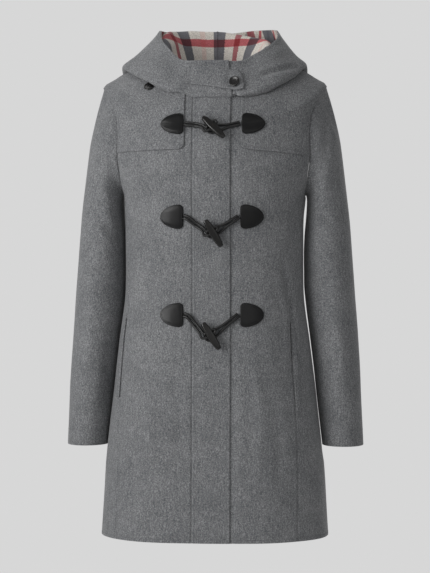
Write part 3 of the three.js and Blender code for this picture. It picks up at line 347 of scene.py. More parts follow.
# The same for the back, as seen from behind with x the wearer's left: x, z, x, z, half width, depth.
BACK_CREASES = [
    (-118, -225, -70, -330, 10, 2.2),
    (125, -235, 92, -318, 8, 1.8),
    (-20, -300, 12, -420, 11, 1.5),
    (60, -380, 84, -640, 12, -1.8),
    (-96, -470, -120, -790, 13, -2.0),
    (-45, -560, -52, -800, 10, 1.6),
    (20, -610, 34, -835, 9, 1.4),
    (-60, -150, 40, -158, 12, 0.9),
]
# Creases of the two sleeves, in the front view and in the back view.
SLEEVE_CREASES = {
    -1: [
        (111, 100, 116, 150, 6.0, 2.0),
        (97, 215, 112, 236, 6.0, 1.8),
        (78, 262, 101, 250, 7.0, 2.4),
        (80, 283, 112, 270, 6.5, 1.8),
        (88, 318, 84, 372, 9.0, -1.6),
        (106, 330, 100, 420, 8.0, 1.6),
        (74, 330, 92, 345, 6.0, 1.2),
    ],
    1: [
        (326, 118, 322, 168, 7.0, 1.6),
        (316, 212, 334, 228, 6.0, 2.0),
        (320, 246, 348, 262, 7.0, 2.4),
        (312, 292, 336, 276, 6.5, 1.8),
        (334, 320, 342, 384, 9.0, -1.6),
        (322, 350, 326, 430, 8.0, 1.5),
    ],
}
SLEEVE_BACK_CREASES = {
    -1: [
        (-190, -215, -232, -262, 8, 2.4),
        (-186, -318, -238, -350, 7, 2.8),
        (-240, -396, -188, -372, 7, 2.2),
        (-205, -430, -214, -600, 10, -1.8),
    ],
    1: [
        (184, -236, 226, -270, 7, 2.0),
        (192, -342, 244, -322, 8, 2.8),
        (236, -410, 190, -384, 7, 2.0),
        (222, -450, 216, -640, 10, -2.0),
    ],
}

# The camera, far off and level, that the pixels above are seen through.
CAMERA_FAR = 3100
CAMERA_TURN = math.radians(3.3)
CAMERA_HEIGHT = -414
PIXEL = 1.8
PIXEL_MIDDLE = (215, 286.5)


def seen_at(points):
    """Pixel columns and rows of points in the photo's frame."""
    along = points[..., 1] * math.cos(CAMERA_TURN) - points[..., 0] * math.sin(CAMERA_TURN)
    across = points[..., 0] * math.cos(CAMERA_TURN) + points[..., 1] * math.sin(CAMERA_TURN)
    scale = PIXEL * (CAMERA_FAR + along) / CAMERA_FAR
    return (
        PIXEL_MIDDLE[0] + across / scale,
        PIXEL_MIDDLE[1] - (points[..., 2] - CAMERA_HEIGHT) / scale,
    )


def crease_depth(x, y, creases, unit_size):
    """Depth at x, y of creases between two spots, deepest a little off the middle, with soft lips."""
    total = np.zeros(np.shape(x))
    for x0, y0, x1, y1, half, depth in creases:
        span = np.array([x1 - x0, y1 - y0], float)
        long = np.hypot(*span)
        along = ((x - x0) * span[0] + (y - y0) * span[1]) / long**2
        bow = 0.05 * long * np.sin(np.pi * clamp01(along))
        off = (((x - x0) * span[1] - (y - y0) * span[0]) / long - bow) * unit_size
        fade = smooth(along / 0.35 + 0.25) * smooth((1 - along) / 0.5 + 0.15)
        lip = 0.42 * hump(np.abs(off) - 2.1 * half, half)
        total += depth * fade * (hump(off, half) - lip)
    return total


def relief(points, normals, front, back):
    """How far a face lies under its smooth form: creases where it faces front or back."""
    x, y = seen_at(points)
    facing = smooth((-normals[..., 1] - 0.1) / 0.4)
    away = smooth((normals[..., 1] - 0.1) / 0.4)
    down = facing * crease_depth(x, y, front, PIXEL)
    down += away * crease_depth(points[..., 0], points[..., 2], back, 1.0)
    wander = np.sin(points[..., 0] * 0.043 + 1.1 * np.sin(points[..., 2] * 0.021))
    wander = wander * np.sin(points[..., 2] * 0.034 + points[..., 1] * 0.02)
    return down + 0.35 * wander


def running(points, axis):
    """Distance gone along an axis of a grid of points."""
    steps = np.linalg.norm(np.diff(points, axis=axis), axis=-1)
    pad = [(0, 0), (0, 0)]
    pad[axis] = (1, 0)
    return np.pad(np.cumsum(steps, axis=axis), pad)


def running_line(points):
    return running(points[:, None], 0)[:, 0]


STITCH_LINE = 6.2
SEAM_STITCH = 4.6
SIDE_STITCH_SPAN = (0.0, 0.34)
# How deep a row of stitches draws the cloth in, and how far a folded edge is rounded off.
STITCH_GROOVE = 0.34
FOLD_ROUND = 0.94


def fold_over(distance, thickness):
    """How far a folded edge falls off, at a distance from its end."""
    turn = clamp01(distance / (thickness / 2))
    return thickness / 2 * FOLD_ROUND * (1 - np.sqrt(1 - (1 - turn) ** 2))


def edge_shape(distance, along, kind, thickness):
    """How the outer and the inner face move near an edge: seams sink, folded edges are round."""
    if kind == "seam":
        pucker = 0.12 * np.sin(along * 0.43) * hump(distance - 4, 3.5)
        sink = -1.0 * hump(distance, 1.5) + 0.16 * hump(distance - 4.5, 2.6) + pucker
        return sink, sink
    if kind == "folded":
        round_off = fold_over(distance, thickness)
        groove = -STITCH_GROOVE * hump(distance - STITCH_LINE, 0.8) + 0.16 * hump(distance - 3.4, 2.0)
        groove = groove + 0.07 * np.sin(along * 0.5) * hump(distance - 5, 4)
        return groove - round_off, groove * 0.4 + round_off
    return 0 * distance, 0 * distance


def shaped_cloth(points, normals, lift, thickness, edges, sunk=0):
    """Outer and inner faces of a cloth on a grid of points. edges names bottom, top, left, right."""
    across, along = running(points, 1), running(points, 0)
    outer_move, inner_move = lift - sunk, lift - sunk - thickness
    for place, (distance, other) in {
        "left": (across, along),
        "right": (across[:, -1:] - across, along),
        "bottom": (along, across),
        "top": (along[-1:, :] - along, across),
    }.items():
        outer, inner = edge_shape(distance, other, edges.get(place), np.min(thickness))
        outer_move, inner_move = outer_move + outer, inner_move + inner
    outer = points + normals * np.broadcast_to(outer_move, across.shape)[..., None]
    inner = points + normals * np.broadcast_to(inner_move, across.shape)[..., None]
    for grid in (outer, inner):
        draw_back(grid, edges)
    return outer, inner


def draw_back(grid, edges):
    """Leaves half a seam's gap at sewn edges."""
    for place, at, beside in (
        ("left", np.s_[:, 0], np.s_[:, 1]),
        ("right", np.s_[:, -1], np.s_[:, -2]),
        ("bottom", np.s_[0], np.s_[1]),
        ("top", np.s_[-1], np.s_[-2]),
    ):
        if edges.get(place) == "seam":
            grid[at] = grid[at] + unit(grid[beside] - grid[at]) * SEAM_HALF_GAP


def wall_faces(rows, columns, closed):
    """Quads of an outer and an inner grid joined round the rim."""
    index = np.arange(rows * columns).reshape(rows, columns)
    if closed:
        index = np.hstack([index, index[:, :1]])
    quads = np.stack([index[:-1, :-1], index[:-1, 1:], index[1:, 1:], index[1:, :-1]], -1)
    outer = quads.reshape(-1, 4)
    shift = rows * columns
    inner = outer[:, ::-1] + shift

    def rim(line):
        return np.stack([line[1:], line[:-1], line[:-1] + shift, line[1:] + shift], -1)

    parts = [outer, inner, rim(index[0]), rim(index[-1][::-1])]
    if not closed:
        parts += [rim(index[:, 0][::-1]), rim(index[:, -1])]
    return np.concatenate(parts)


def linked(name, data):
    """A new object in the scene."""
    thing = bpy.data.objects.new(name, data)
    bpy.context.collection.objects.link(thing)
    return thing


def mesh_object(name, vertices, faces, material, uv=None):
    """A smooth shaded object with its faces turned outward."""
    vertices, faces = np.asarray(vertices, float), np.asarray(faces)
    a, b, c = (vertices[faces[:, i]] for i in range(3))
    volume = np.einsum("ij,ij->i", a, np.cross(b, c)).sum()
    if faces.shape[1] == 4:
        d = vertices[faces[:, 3]]
        volume += np.einsum("ij,ij->i", a, np.cross(c, d)).sum()
    if volume < 0:
        faces = faces[:, ::-1]
    mesh = bpy.data.meshes.new(name)
    mesh.from_pydata((vertices * MM).tolist(), [], faces.tolist())
    mesh.polygons.foreach_set("use_smooth", np.ones(len(faces), bool))
    if uv is not None:
        layer = mesh.uv_layers.new(name="cloth")
        layer.data.foreach_set("uv", (uv * MM)[faces.reshape(-1)].reshape(-1))
    mesh.materials.append(material)
    return linked(name, mesh)


def stand_for(thing, slot, *nodes):
    """Fixes a piece to the body, in place of the nodes it stands for, if any. Its slot is not used."""
    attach(thing, "root")
    if nodes:
        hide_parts(*nodes)
    return thing


def cloth_object(name, outer, inner, material, closed=False, uv=None):
    rows, columns = outer.shape[:2]
    vertices = np.concatenate([outer.reshape(-1, 3), inner.reshape(-1, 3)])
    if uv is not None:
        uv = np.concatenate([uv.reshape(-1, 2)] * 2)
    return mesh_object(name, vertices, wall_faces(rows, columns, closed), material, uv)


# Stitches: little spindles of thread laid along a line on a face.
STITCH_LONG = 3.0
STITCH_STEP = 3.9
STITCH_HALF = 0.34
STITCH_SIDES = 5


def along_line(points, normals, step):
    """Spots step apart on a line, with the way it runs and the normals there."""
    gone = running_line(points)
    at = np.arange(step / 2, gone[-1], step)
    ahead, behind = (read_between(at + beside, gone, points) for beside in (0.4, -0.4))
    return read_between(at, gone, points), unit(ahead - behind), unit(read_between(at, gone, normals))


def spindles(spots, ways, outs, long, half):
    """Vertices and faces of one spindle at each spot."""
    sides = unit(np.cross(outs, ways))
    rings = [(-0.5, 0.35), (-0.25, 1.0), (0.25, 1.0), (0.5, 0.35)]
    layers = []
    for place, width in rings:
        for turn in round_turns(STITCH_SIDES):
            swing = sides * np.cos(turn) + outs * np.sin(turn)
            layers.append(spots + ways * long * place + swing * half * width)
    faces = np.array(tube_faces(len(rings), STITCH_SIDES))
    shift = (np.arange(len(spots)) * len(layers))[:, None, None]
    return np.stack(layers, 1).reshape(-1, 3), (faces[None] + shift).reshape(-1, 4)


def stitch_object(name, lines, material, slot, step=STITCH_STEP, long=STITCH_LONG, half=STITCH_HALF):
    """One object of all the stitches on some lines, each a pair of points and normals."""
    vertices, faces, shift = [], [], 0
    for line in lines:
        some, quads = spindles(*along_line(*line, step), long, half)
        vertices.append(some)
        faces.append(quads + shift)
        shift += len(some)
    return stand_for(mesh_object(name, np.concatenate(vertices), np.concatenate(faces), material), slot)


def line_beside(grid, normals, place, distance, span=(0.0, 1.0)):
    """The line on a face that runs distance inside one of its edges."""
    if place in ("bottom", "top"):
        grid, normals = grid.transpose(1, 0, 2), normals.transpose(1, 0, 2)
    if place in ("right", "top"):
        grid, normals = grid[:, ::-1], normals[:, ::-1]
    gone = running(grid, 1)
    rows = range(round(span[0] * (len(grid) - 1)), round(span[1] * (len(grid) - 1)) + 1)
    points, outs = ([read_between(distance, gone[r], of[r]) for r in rows] for of in (grid, normals))
    return np.array(points), unit(np.array(outs))


# Looks. Colours are as seen on a screen, from 0 to 1.
def linear(colour):
    return tuple(c / 12.92 if c <= 0.04045 else ((c + 0.055) / 1.055) ** 2.4 for c in colour)


class Look:
    """A material: one shader, fed by nodes that these calls add."""

    def __init__(self, name, roughness, sheen=0.0, coat=0.0):
        self.material = bpy.data.materials.new(name)
        self.material.use_nodes = True
        self.nodes, self.links = self.material.node_tree.nodes, self.material.node_tree.links
        self.shader = self.nodes["Principled BSDF"].inputs
        self.place = self.nodes.new("ShaderNodeTexCoord").outputs
        for socket, value in (
            ("Roughness", roughness),
            ("Sheen Weight", sheen),
            ("Sheen Roughness", 0.45),
            ("Coat Weight", coat),
            ("Coat Roughness", 0.2),
        ):
            self.shader[socket].default_value = value

    def feed(self, socket, value):
        if isinstance(value, (int, float)):
            socket.default_value = value
        elif isinstance(value, tuple):
            socket.default_value = (*linear(value), 1)
        else:
            self.links.new(value, socket)

    def noise(self, scale, detail=2.0, stretch=(1, 1, 1)):
        mapping = self.nodes.new("ShaderNodeMapping")
        mapping.inputs["Scale"].default_value = stretch
        self.feed(mapping.inputs["Vector"], self.place["Object"])
        noise = self.nodes.new("ShaderNodeTexNoise")
        self.feed(noise.inputs["Scale"], scale)
        self.feed(noise.inputs["Detail"], detail)
        self.feed(noise.inputs["Vector"], mapping.outputs["Vector"])
        return noise.outputs["Fac"]

    def ramp(self, value, stops):
        ramp = self.nodes.new("ShaderNodeValToRGB")
        self.feed(ramp.inputs["Fac"], value)
        elements = ramp.color_ramp.elements
        while len(elements) < len(stops):
            elements.new(0.5)
        for element, (place, colour) in zip(elements, stops):
            element.position = place
            element.color = (*linear(colour), 1)
        return ramp.outputs["Color"]

    def math(self, operation, first, second=0.5):
        node = self.nodes.new("ShaderNodeMath")
        node.operation = operation
        self.feed(node.inputs[0], first)
        self.feed(node.inputs[1], second)
        return node.outputs[0]

    def weighted(self, *shares):
        """Values added up, each times its weight."""
        total = self.math("MULTIPLY", *shares[0])
        for share in shares[1:]:
            total = self.math("ADD", total, self.math("MULTIPLY", *share))
        return total

    def blend(self, kind, factor, first, second):
        node = self.nodes.new("ShaderNodeMix")
        node.data_type = "RGBA"
        node.blend_type = kind
        for i, value in ((0, factor), (6, first), (7, second)):
            self.feed(node.inputs[i], value)
        return node.outputs[2]

    def bump(self, height, strength, distance):
        bump = self.nodes.new("ShaderNodeBump")
        self.feed(bump.inputs["Strength"], strength)
        self.feed(bump.inputs["Distance"], distance)
        self.feed(bump.inputs["Height"], height)
        self.feed(self.shader["Normal"], bump.outputs["Normal"])

    def colour(self, value):
        self.feed(self.shader["Base Color"], value)


WOOL_DARK = (0.28, 0.29, 0.305)
WOOL_MIDDLE = (0.455, 0.46, 0.468)
WOOL_PALE = (0.655, 0.657, 0.66)


def wool_material():
    """Grey wool of mixed light and dark fibres, with a faint nap that runs downward."""
    look = Look("wool", 0.92, sheen=0.22)
    grain = look.noise(560, 3.0, (1, 1, 0.8))
    fleck = look.noise(1400)
    nap = look.noise(520, 2.0, (1, 1, 0.14))
    patchy = look.noise(22)
    mixed = look.weighted((grain, 0.5), (fleck, 0.24), (nap, 0.16), (patchy, 0.1))
    look.colour(look.ramp(mixed, [(0.36, WOOL_DARK), (0.5, WOOL_MIDDLE), (0.66, WOOL_PALE)]))
    look.bump(look.math("ADD", look.math("MULTIPLY", fleck, 0.6), grain), 0.5, 0.0006)
    return look.material


CREAM = (0.93, 0.905, 0.87)
NAVY_GREY = (0.36, 0.37, 0.41)
CHECK_RED = (0.66, 0.30, 0.34)
PALE_PINK = (0.92, 0.81, 0.775)
# Stripes of the check, in millimetres: where they lie, how often they come and how wide.
CHECK_NAVY = (4, 61, 20)
CHECK_PINK = (-25, 122, 9)
CHECK_RED_UP = (36, 122, 9.5)
CHECK_RED_ACROSS = (52, 96, 15)
CHECK_GREY_ACROSS = (100, 96, 17)
STRIPE_SOFT = 0.0005


def stripe_mask(look, along, wobble, stripe):
    """One where a stripe that repeats along a coordinate lies, with slightly uneven edges."""
    place, period, wide = (value * MM for value in stripe)
    moved = look.math("ADD", look.math("ADD", along, period * 40.5 - place), wobble)
    phase = look.math("MODULO", moved, period)
    away = look.math("ABSOLUTE", look.math("SUBTRACT", phase, period / 2))
    node = look.nodes.new("ShaderNodeMapRange")
    look.feed(node.inputs["From Min"], -STRIPE_SOFT)
    look.feed(node.inputs["From Max"], STRIPE_SOFT)
    look.feed(node.inputs["Value"], look.math("SUBTRACT", wide / 2, away))
    return node.outputs["Result"]


def check_material():
    """A plain check woven in grey navy and red on cream, brushed soft."""
    look = Look("check", 0.9, sheen=0.15)
    split = look.nodes.new("ShaderNodeSeparateXYZ")
    look.feed(split.inputs["Vector"], look.place["UV"])
    round_it, down = split.outputs["X"], split.outputs["Y"]
    fuzz = look.noise(700, 3.0)
    wobble = look.math("MULTIPLY", look.math("SUBTRACT", fuzz, 0.5), 0.003)
    colour = look.ramp(fuzz, [(0.3, (0.87, 0.84, 0.80)), (0.6, CREAM)])
    for kind, along, stripe, tint, strength in (
        ("MIX", round_it, CHECK_PINK, PALE_PINK, 0.7),
        ("MIX", round_it, CHECK_NAVY, NAVY_GREY, 0.9),
        ("MIX", down, CHECK_GREY_ACROSS, NAVY_GREY, 0.55),
        ("MIX", round_it, CHECK_RED_UP, CHECK_RED, 0.88),
        ("MULTIPLY", down, CHECK_RED_ACROSS, (0.86, 0.47, 0.51), 1.0),
    ):
        factor = look.math("MULTIPLY", stripe_mask(look, along, wobble, stripe), strength)
        colour = look.blend(kind, factor, colour, tint)
    speckle = look.ramp(fuzz, [(0.35, (0.86, 0.86, 0.86)), (0.65, (1, 1, 1))])
    look.colour(look.blend("MULTIPLY", 1.0, colour, speckle))
    look.bump(fuzz, 0.35, 0.0006)
    return look.material


def leather_material():
    """Black leather with a fine grain and a soft gloss."""
    look = Look("leather", 0.34, coat=0.04)
    grain = look.noise(900, 3.0)
    look.colour(look.ramp(grain, [(0.3, (0.03, 0.03, 0.033)), (0.7, (0.07, 0.07, 0.074))]))
    look.feed(look.shader["Specular IOR Level"], 0.3)
    look.bump(grain, 0.25, 0.0003)
    return look.material


def cord_material():
    """Black waxed cord. Its plait is in the mesh; here it is fine fibres."""
    look = Look("cord", 0.5, coat=0.1)
    fibre = look.noise(1500)
    look.colour(look.ramp(fibre, [(0.3, (0.03, 0.03, 0.032)), (0.75, (0.09, 0.09, 0.09))]))
    look.bump(fibre, 0.4, 0.0004)
    return look.material


def horn_material():
    """Dark horn: near black with brown streaks along it, polished."""
    look = Look("horn", 0.27, coat=0.2)
    streak = look.noise(300, 3.0, (1.0, 1.0, 0.35))
    dark, brown, pale = (0.028, 0.026, 0.024), (0.06, 0.054, 0.046), (0.16, 0.14, 0.11)
    look.colour(look.ramp(streak, [(0.35, dark), (0.62, brown), (0.85, pale)]))
    return look.material


def thread_material(name, colour):
    """Twisted thread: one colour, a little lighter and darker from fibre to fibre."""
    look = Look(name, 0.75, sheen=0.1)
    dark, pale = (tuple(value * share for value in colour) for share in (0.82, 1.15))
    look.colour(look.ramp(look.noise(2200), [(0.35, dark), (0.65, pale)]))
    return look.material


WOOL = wool_material()
CHECK = check_material()
LEATHER = leather_material()
CORD = cord_material()
HORN = horn_material()
GREY_THREAD = thread_material("grey_thread", (0.40, 0.405, 0.415))
BLACK_THREAD = thread_material("black_thread", (0.09, 0.09, 0.095))

# How the four edges of a piece are finished.
PANEL_EDGES = {"left": "seam", "right": "seam", "bottom": "folded", "top": "seam"}
FLAP_EDGES = {"left": "folded", "right": "folded", "bottom": "folded", "top": "folded"}


def finish_cloth(node, faces, stitches=(), closed=False, uv=None):
    """The cloth piece that stands for a node, with its stitching."""
    name, material, slot = f"wool_{node}", WOOL, "wool"
    if "lining" in node:
        name, material, slot = node.replace("hood_lining", "check_hood"), CHECK, "check_lining"
    thing = stand_for(cloth_object(name, *faces, material, closed, uv), slot, node)
    threads = [stitch_object(f"thread_{name}", stitches, GREY_THREAD, slot)] if stitches else []


def make_cloth(node, points, normals, lift, thickness, edges, down=0, rows=(), uv=None):
    """A cloth piece on a grid of points, stitched in rows beside its edges."""
    faces = shaped_cloth(points, normals, lift, thickness, edges, down)
    finish_cloth(node, faces, [line_beside(faces[0], normals, *row) for row in rows], uv=uv)
    return faces[0]


HEM_ROW = ("bottom", STITCH_LINE)

FRONT_LOW = [(-COAT_LENGTH, -COAT_LENGTH), (LOW_TOP, LOW_TOP)]
SHOULDER_ROWS = [(-150, -150), (ARMHOLE_TOP, ARMHOLE_TOP), (YOKE_TOP, YOKE_TOP), (0, 0)]
INNER_MEET_ROW = -237


def rows_through(pairs, at_start=EDGE_LINES, at_stop=EDGE_LINES):
    """Fine rows between pairs of inner and outer heights, closer beside the first and the last."""
    rows = []
    for i, (low, high) in enumerate(zip(pairs, pairs[1:])):
        long = max(abs(high[0] - low[0]), abs(high[1] - low[1]))
        first = at_start if i == 0 else ()
        last = at_stop if i == len(pairs) - 2 else ()
        part = spaced(0.0, long, at_start=first, at_stop=last) / long
        part = part if i == len(pairs) - 2 else part[:-1]
        rows += [(mix(low[0], high[0], p), mix(low[1], high[1], p)) for p in part]
    return np.array(rows).T


def front_rows(side):
    meet, _ = seam_lead(side)
    yoke_row = (YOKE_FRONT_BOTTOM, YOKE_OUTER_BOTTOM[side])
    return [*FRONT_LOW, (INNER_MEET_ROW, meet), yoke_row, *SHOULDER_ROWS]


def panel_edge(side, height, meet, depth, back):
    """Angle of a panel's outer edge: its seam at a depth, above it the armhole, then the shoulder."""
    in_armhole = angle_at_y(height, armhole_depth(height, back), side)
    above = np.where(height < ARMHOLE_TOP, in_armhole, side * math.pi / 2)
    return np.where(height <= meet + 0.01, angle_at_y(height, depth, side), above)


FRONT_WIDE = 128


def outer_part(side, inner, outer, x, at_start=()):
    """Heights and angles from the line at x out to the armhole or the side seam."""
    meet, lead = seam_lead(side)
    start = angle_at_x(inner, x)[:, None]
    stop = panel_edge(side, outer, meet, -lead(outer), False)[:, None]
    part = spaced(0.0, FRONT_WIDE, at_start=at_start) / FRONT_WIDE
    return mix(inner[:, None], outer[:, None], part), mix(start, stop, part)


def coat_grid(heights, angles):
    return coat_point(heights, angles), coat_normal(heights, angles)


def make_front(side, name):
    inner, outer = rows_through(front_rows(side))
    near = -PLACKET_HALF if side < 0 else UNDERLAP_EDGE
    across = spaced(float(near), float(side * YOKE_EDGE[side]), at_stop=())[None, :-1]
    heights, angles = outer_part(side, inner, outer, side * YOKE_EDGE[side])
    x_heights = inner[:, None] + 0 * across
    heights = np.hstack([x_heights, heights])
    angles = np.hstack([angle_at_x(x_heights, across), angles])
    points, normals = coat_grid(heights, angles)
    lift = np.zeros(heights.shape)
    if side > 0:
        lift[:, : across.size] = front_underlap(across)
    down = relief(points, normals, FRONT_CREASES, [])
    edges = {**PANEL_EDGES, "left": "seam" if side < 0 else "folded"}
    rows = [HEM_ROW, ("right", SEAM_STITCH, SIDE_STITCH_SPAN)]
    make_cloth(f"front_{name}", points, normals, lift, CLOTH, edges, down, rows)


# How far the hanging sleeve presses the side of the body in.
ARM_PRESS = 3.2
ARM_PRESS_TOP, ARM_PRESS_TOP_FADE = -262, 40
ARM_PRESS_BOTTOM, ARM_PRESS_BOTTOM_FADE = -730, 30
ARM_PRESS_MIDDLE = 9
ARM_PRESS_HALF = 24
# Rough width and height of a side and of the back, which the grids are spaced by.
SIDE_WIDE = 130
SIDE_RISE = 70
BACK_WIDE = 430


def make_side(side, name):
    meet, lead = seam_lead(side)
    part = spaced(0.0, SIDE_WIDE) / SIDE_WIDE

    def edge_angle(height):
        front = angle_at_y(height, -lead(np.minimum(height, meet)), side)
        back = angle_at_y(height, BACK_LAG(np.minimum(height, BACK_MEET)), side)
        return mix(front, back, part)

    low = spaced(-float(COAT_LENGTH), float(LOW_TOP), at_stop=())[:-1, None]
    y = mix(-SEAM_TOP_LEAD[side], BACK_SEAM_TOP_LAG, part)
    rise = spaced(0.0, SIDE_RISE, at_start=())[:, None] / SIDE_RISE
    high = mix(LOW_TOP, armhole_floor(y), rise)
    at_top = angle_at_y(high, y + 0 * high, side)
    heights = np.vstack([low + 0 * part, high])
    angles = np.vstack([edge_angle(low), mix(edge_angle(high), at_top, smooth(rise))])
    points, normals = coat_grid(heights, angles)
    down = relief(points, normals, FRONT_CREASES, BACK_CREASES)
    y, z = points[..., 1], points[..., 2]
    pressed = smooth((ARM_PRESS_TOP - z) / ARM_PRESS_TOP_FADE)
    pressed = pressed * smooth((z - ARM_PRESS_BOTTOM) / ARM_PRESS_BOTTOM_FADE)
    down = down + ARM_PRESS * hump(y - ARM_PRESS_MIDDLE, ARM_PRESS_HALF) * pressed
    make_cloth(f"side_{name}", points, normals, 0, CLOTH, PANEL_EDGES, down, [HEM_ROW])


def make_back():
    pairs = [(-COAT_LENGTH, 0), (BACK_MEET, 0), (ARMHOLE_TOP, 0), (SHOULDER_TOP, 0)]
    heights = rows_through(pairs)[0][:, None]
    edge = panel_edge(1, heights, BACK_MEET, BACK_LAG(heights), True)
    part = spaced(0.0, BACK_WIDE, 6.0) / BACK_WIDE
    points, normals = coat_grid(heights + 0 * part, mix(edge, 2 * np.pi - edge, part))
    down = relief(points, normals, [], BACK_CREASES)
    make_cloth("back", points, normals, 0, CLOTH, PANEL_EDGES, down, [HEM_ROW])


def make_placket():
    inner = rows_through(front_rows(-1))[0][:, None]
    across = spaced(-float(PLACKET_HALF), float(PLACKET_HALF), 3.6)[None, :]
    points, normals = coat_grid(inner + 0 * across, angle_at_x(inner + 0 * across, across))
    down = relief(points, normals, FRONT_CREASES, [])
    lift = front_overlap(across) + 0 * inner
    edges = {**PANEL_EDGES, "right": "folded"}
    rows = [("left", SEAM_STITCH), ("right", STITCH_LINE), HEM_ROW]
    make_cloth("placket", points, normals, lift, FLAP_CLOTH, edges, down, rows)


# The yoke's low edge stands off by the flare. Its outer part is sewn down from the given share.
YOKE_FLARE = 1.5
YOKE_FLARE_HIGH = 9
YOKE_RADIUS = 118
YOKE_SEWN_FROM = 0.86
YOKE_SEWN_FADE = 0.14
YOKE_ROWS = [
    ("left", STITCH_LINE, (0.04, 1.0)),
    ("bottom", STITCH_LINE, (0.06, 1.0)),
    ("right", 7.5, (0.04, 0.98)),
]


def make_yoke(side, name):
    inner, outer = rows_through([(YOKE_FRONT_BOTTOM, YOKE_OUTER_BOTTOM[side]), *SHOULDER_ROWS[:-1]])
    heights, angles = outer_part(side, inner, outer, side * YOKE_EDGE[side], EDGE_LINES)
    gone = spaced(0.0, FRONT_WIDE, at_start=EDGE_LINES)
    rise = heights[:, :1] - heights[:1, :1]
    aside, above = clamp01(1 - gone / YOKE_CORNER), clamp01(1 - rise / YOKE_CORNER)
    turned_in = 1 - aside * np.sqrt(1 - above**2 / 2)
    turned_up = 1 - above * np.sqrt(1 - aside**2 / 2)
    angles = angles + side * (turned_in - 1 + aside) * YOKE_CORNER / YOKE_RADIUS
    heights = heights + (turned_up - 1 + above) * YOKE_CORNER
    points, normals = coat_grid(heights, angles)
    sewn = smooth((gone / FRONT_WIDE - YOKE_SEWN_FROM) / YOKE_SEWN_FADE)
    near_bottom = hump(running(points, 0), YOKE_FLARE_HIGH)
    low_edge = YOKE_FLARE * near_bottom * smooth(1.4 - gone / FRONT_WIDE * 1.4)
    lift = mix(YOKE_OUT, YOKE_SEWN_OUT, sewn) + low_edge
    thick = mix(FLAP_CLOTH, YOKE_SEWN_THICK, sewn) + 0 * heights
    down = relief(points, normals, FRONT_CREASES, [])
    edges = {**FLAP_EDGES, "right": "seam", "top": "seam"}
    make_cloth(f"yoke_{name}", points, normals, lift, thick, edges, down, YOKE_ROWS)


SLEEVE_COLUMNS = ("order", "outerX", "outerZ", "innerX", "innerZ", "middleY", "halfDepth")
SLEEVE_SECTIONS = [
    (0, 226.5, -165, 163.5, -290, 8, 64),
    (1, 233, -215, 160.6, -325, 9, 66),
    (2, 240.5, -285, 159.6, -360, 10, 66),
    (3, 247, -366, 159.8, -405, 11, 64),
    (4, 252, -430, 163.6, -448, 10, 62),
    (5, 256.8, -500, 170.4, -505, 8, 60),
    (6, 261, -570, 178.6, -570, 5, 57),
    (7, 263.5, -635, 185.5, -635, 2, 53),
    (8, 266, -697, 192.3, -697, 0, 50),
]
SLEEVE_END = 9
SLEEVE_START_GAP = 0.45
# How steeply the sleeve head rises from the armhole seam over the shoulder.
HEAD_RISE = 0.3
UNDERARM_RISE = 1.2
# How far the head's curve follows its start and its end: over the shoulder and at the underarm.
HEAD_START_PULL = (22, 5)
HEAD_END_PULL = (45, 14)
# Folds of the sleeves: where round the arm, how wide, how deep and where along the arm.
SLEEVE_FOLDS = [
    (70, 16, -2.6, 1.9, 0.7),
    (38, 18, 2.4, 3.4, 1.0),
    (115, 18, -2.8, 4.9, 0.8),
    (300, 20, -3.0, 4.4, 1.0),
    (250, 18, 2.2, 6.4, 1.1),
]
SLEEVE = read_table(SLEEVE_COLUMNS, SLEEVE_SECTIONS)


def sleeve_round(order, turn):
    cosine, sine = np.cos(turn), np.sin(turn)
    half_x = (SLEEVE["outerX"](order) - SLEEVE["innerX"](order)) / 2
    half_z = (SLEEVE["outerZ"](order) - SLEEVE["innerZ"](order)) / 2
    swell = 0
    for round_it, spread, depth, place, length in SLEEVE_FOLDS:
        away = wrapped(np.degrees(turn) - round_it)
        along = (order + 1 - place) / length
        swell = swell + depth * np.exp(-(away**2) / (2 * spread**2) - along**2)
    x = (SLEEVE["outerX"](order) + SLEEVE["innerX"](order)) / 2 + half_x * cosine
    y = SLEEVE["middleY"](order) - SLEEVE["halfDepth"](order) * sine
    z = (SLEEVE["outerZ"](order) + SLEEVE["innerZ"](order)) / 2 + half_z * cosine
    return np.stack([x + swell * np.maximum(0, cosine), y - swell * sine, z], -1)


def armhole_spot(turn):
    cosine, sine = np.cos(turn), np.sin(turn)
    power = 2 / ARMHOLE_SQUARE
    height = ARMHOLE_MIDDLE + ARMHOLE_REACH * np.sign(cosine) * np.abs(cosine) ** power
    deep = np.where(sine > 0, -ARMHOLE_FRONT, ARMHOLE_BACK)
    return height, angle_at_y(height, deep * np.abs(sine) ** power, 1)


def sleeve_point(order, turn):
    point, normal = coat_grid(*armhole_spot(turn))
    along = coat_point(*armhole_spot(turn + 0.02)) - coat_point(*armhole_spot(turn - 0.02))
    away = unit(np.cross(normal, along))
    low = ((1 - np.cos(turn)) / 2)[..., None]
    start = point + away * SLEEVE_START_GAP
    leave = unit(away + normal * mix(HEAD_RISE, UNDERARM_RISE, low))
    end = sleeve_round(0 * order, turn)
    arrive = unit(sleeve_round(0 * order + 0.4, turn) - end)
    first = start + leave * mix(*HEAD_START_PULL, low)
    second = end - arrive * mix(*HEAD_END_PULL, low)
    t = clamp01(order)[..., None]
    cap = start * (1 - t) ** 3 + first * 3 * (1 - t) ** 2 * t + second * 3 * (1 - t) * t**2 + end * t**3
    return np.where(t < 1, cap, sleeve_round(np.maximum(order - 1, 0), turn))


def sleeve_normal(order, turn):
    early, late = np.maximum(0, order - 0.02), np.minimum(SLEEVE_END, order + 0.02)
    along = sleeve_point(late, turn) - sleeve_point(early, turn)
    round_it = sleeve_point(order, turn + 0.02) - sleeve_point(order, turn - 0.02)
    return -unit(np.cross(along, round_it))


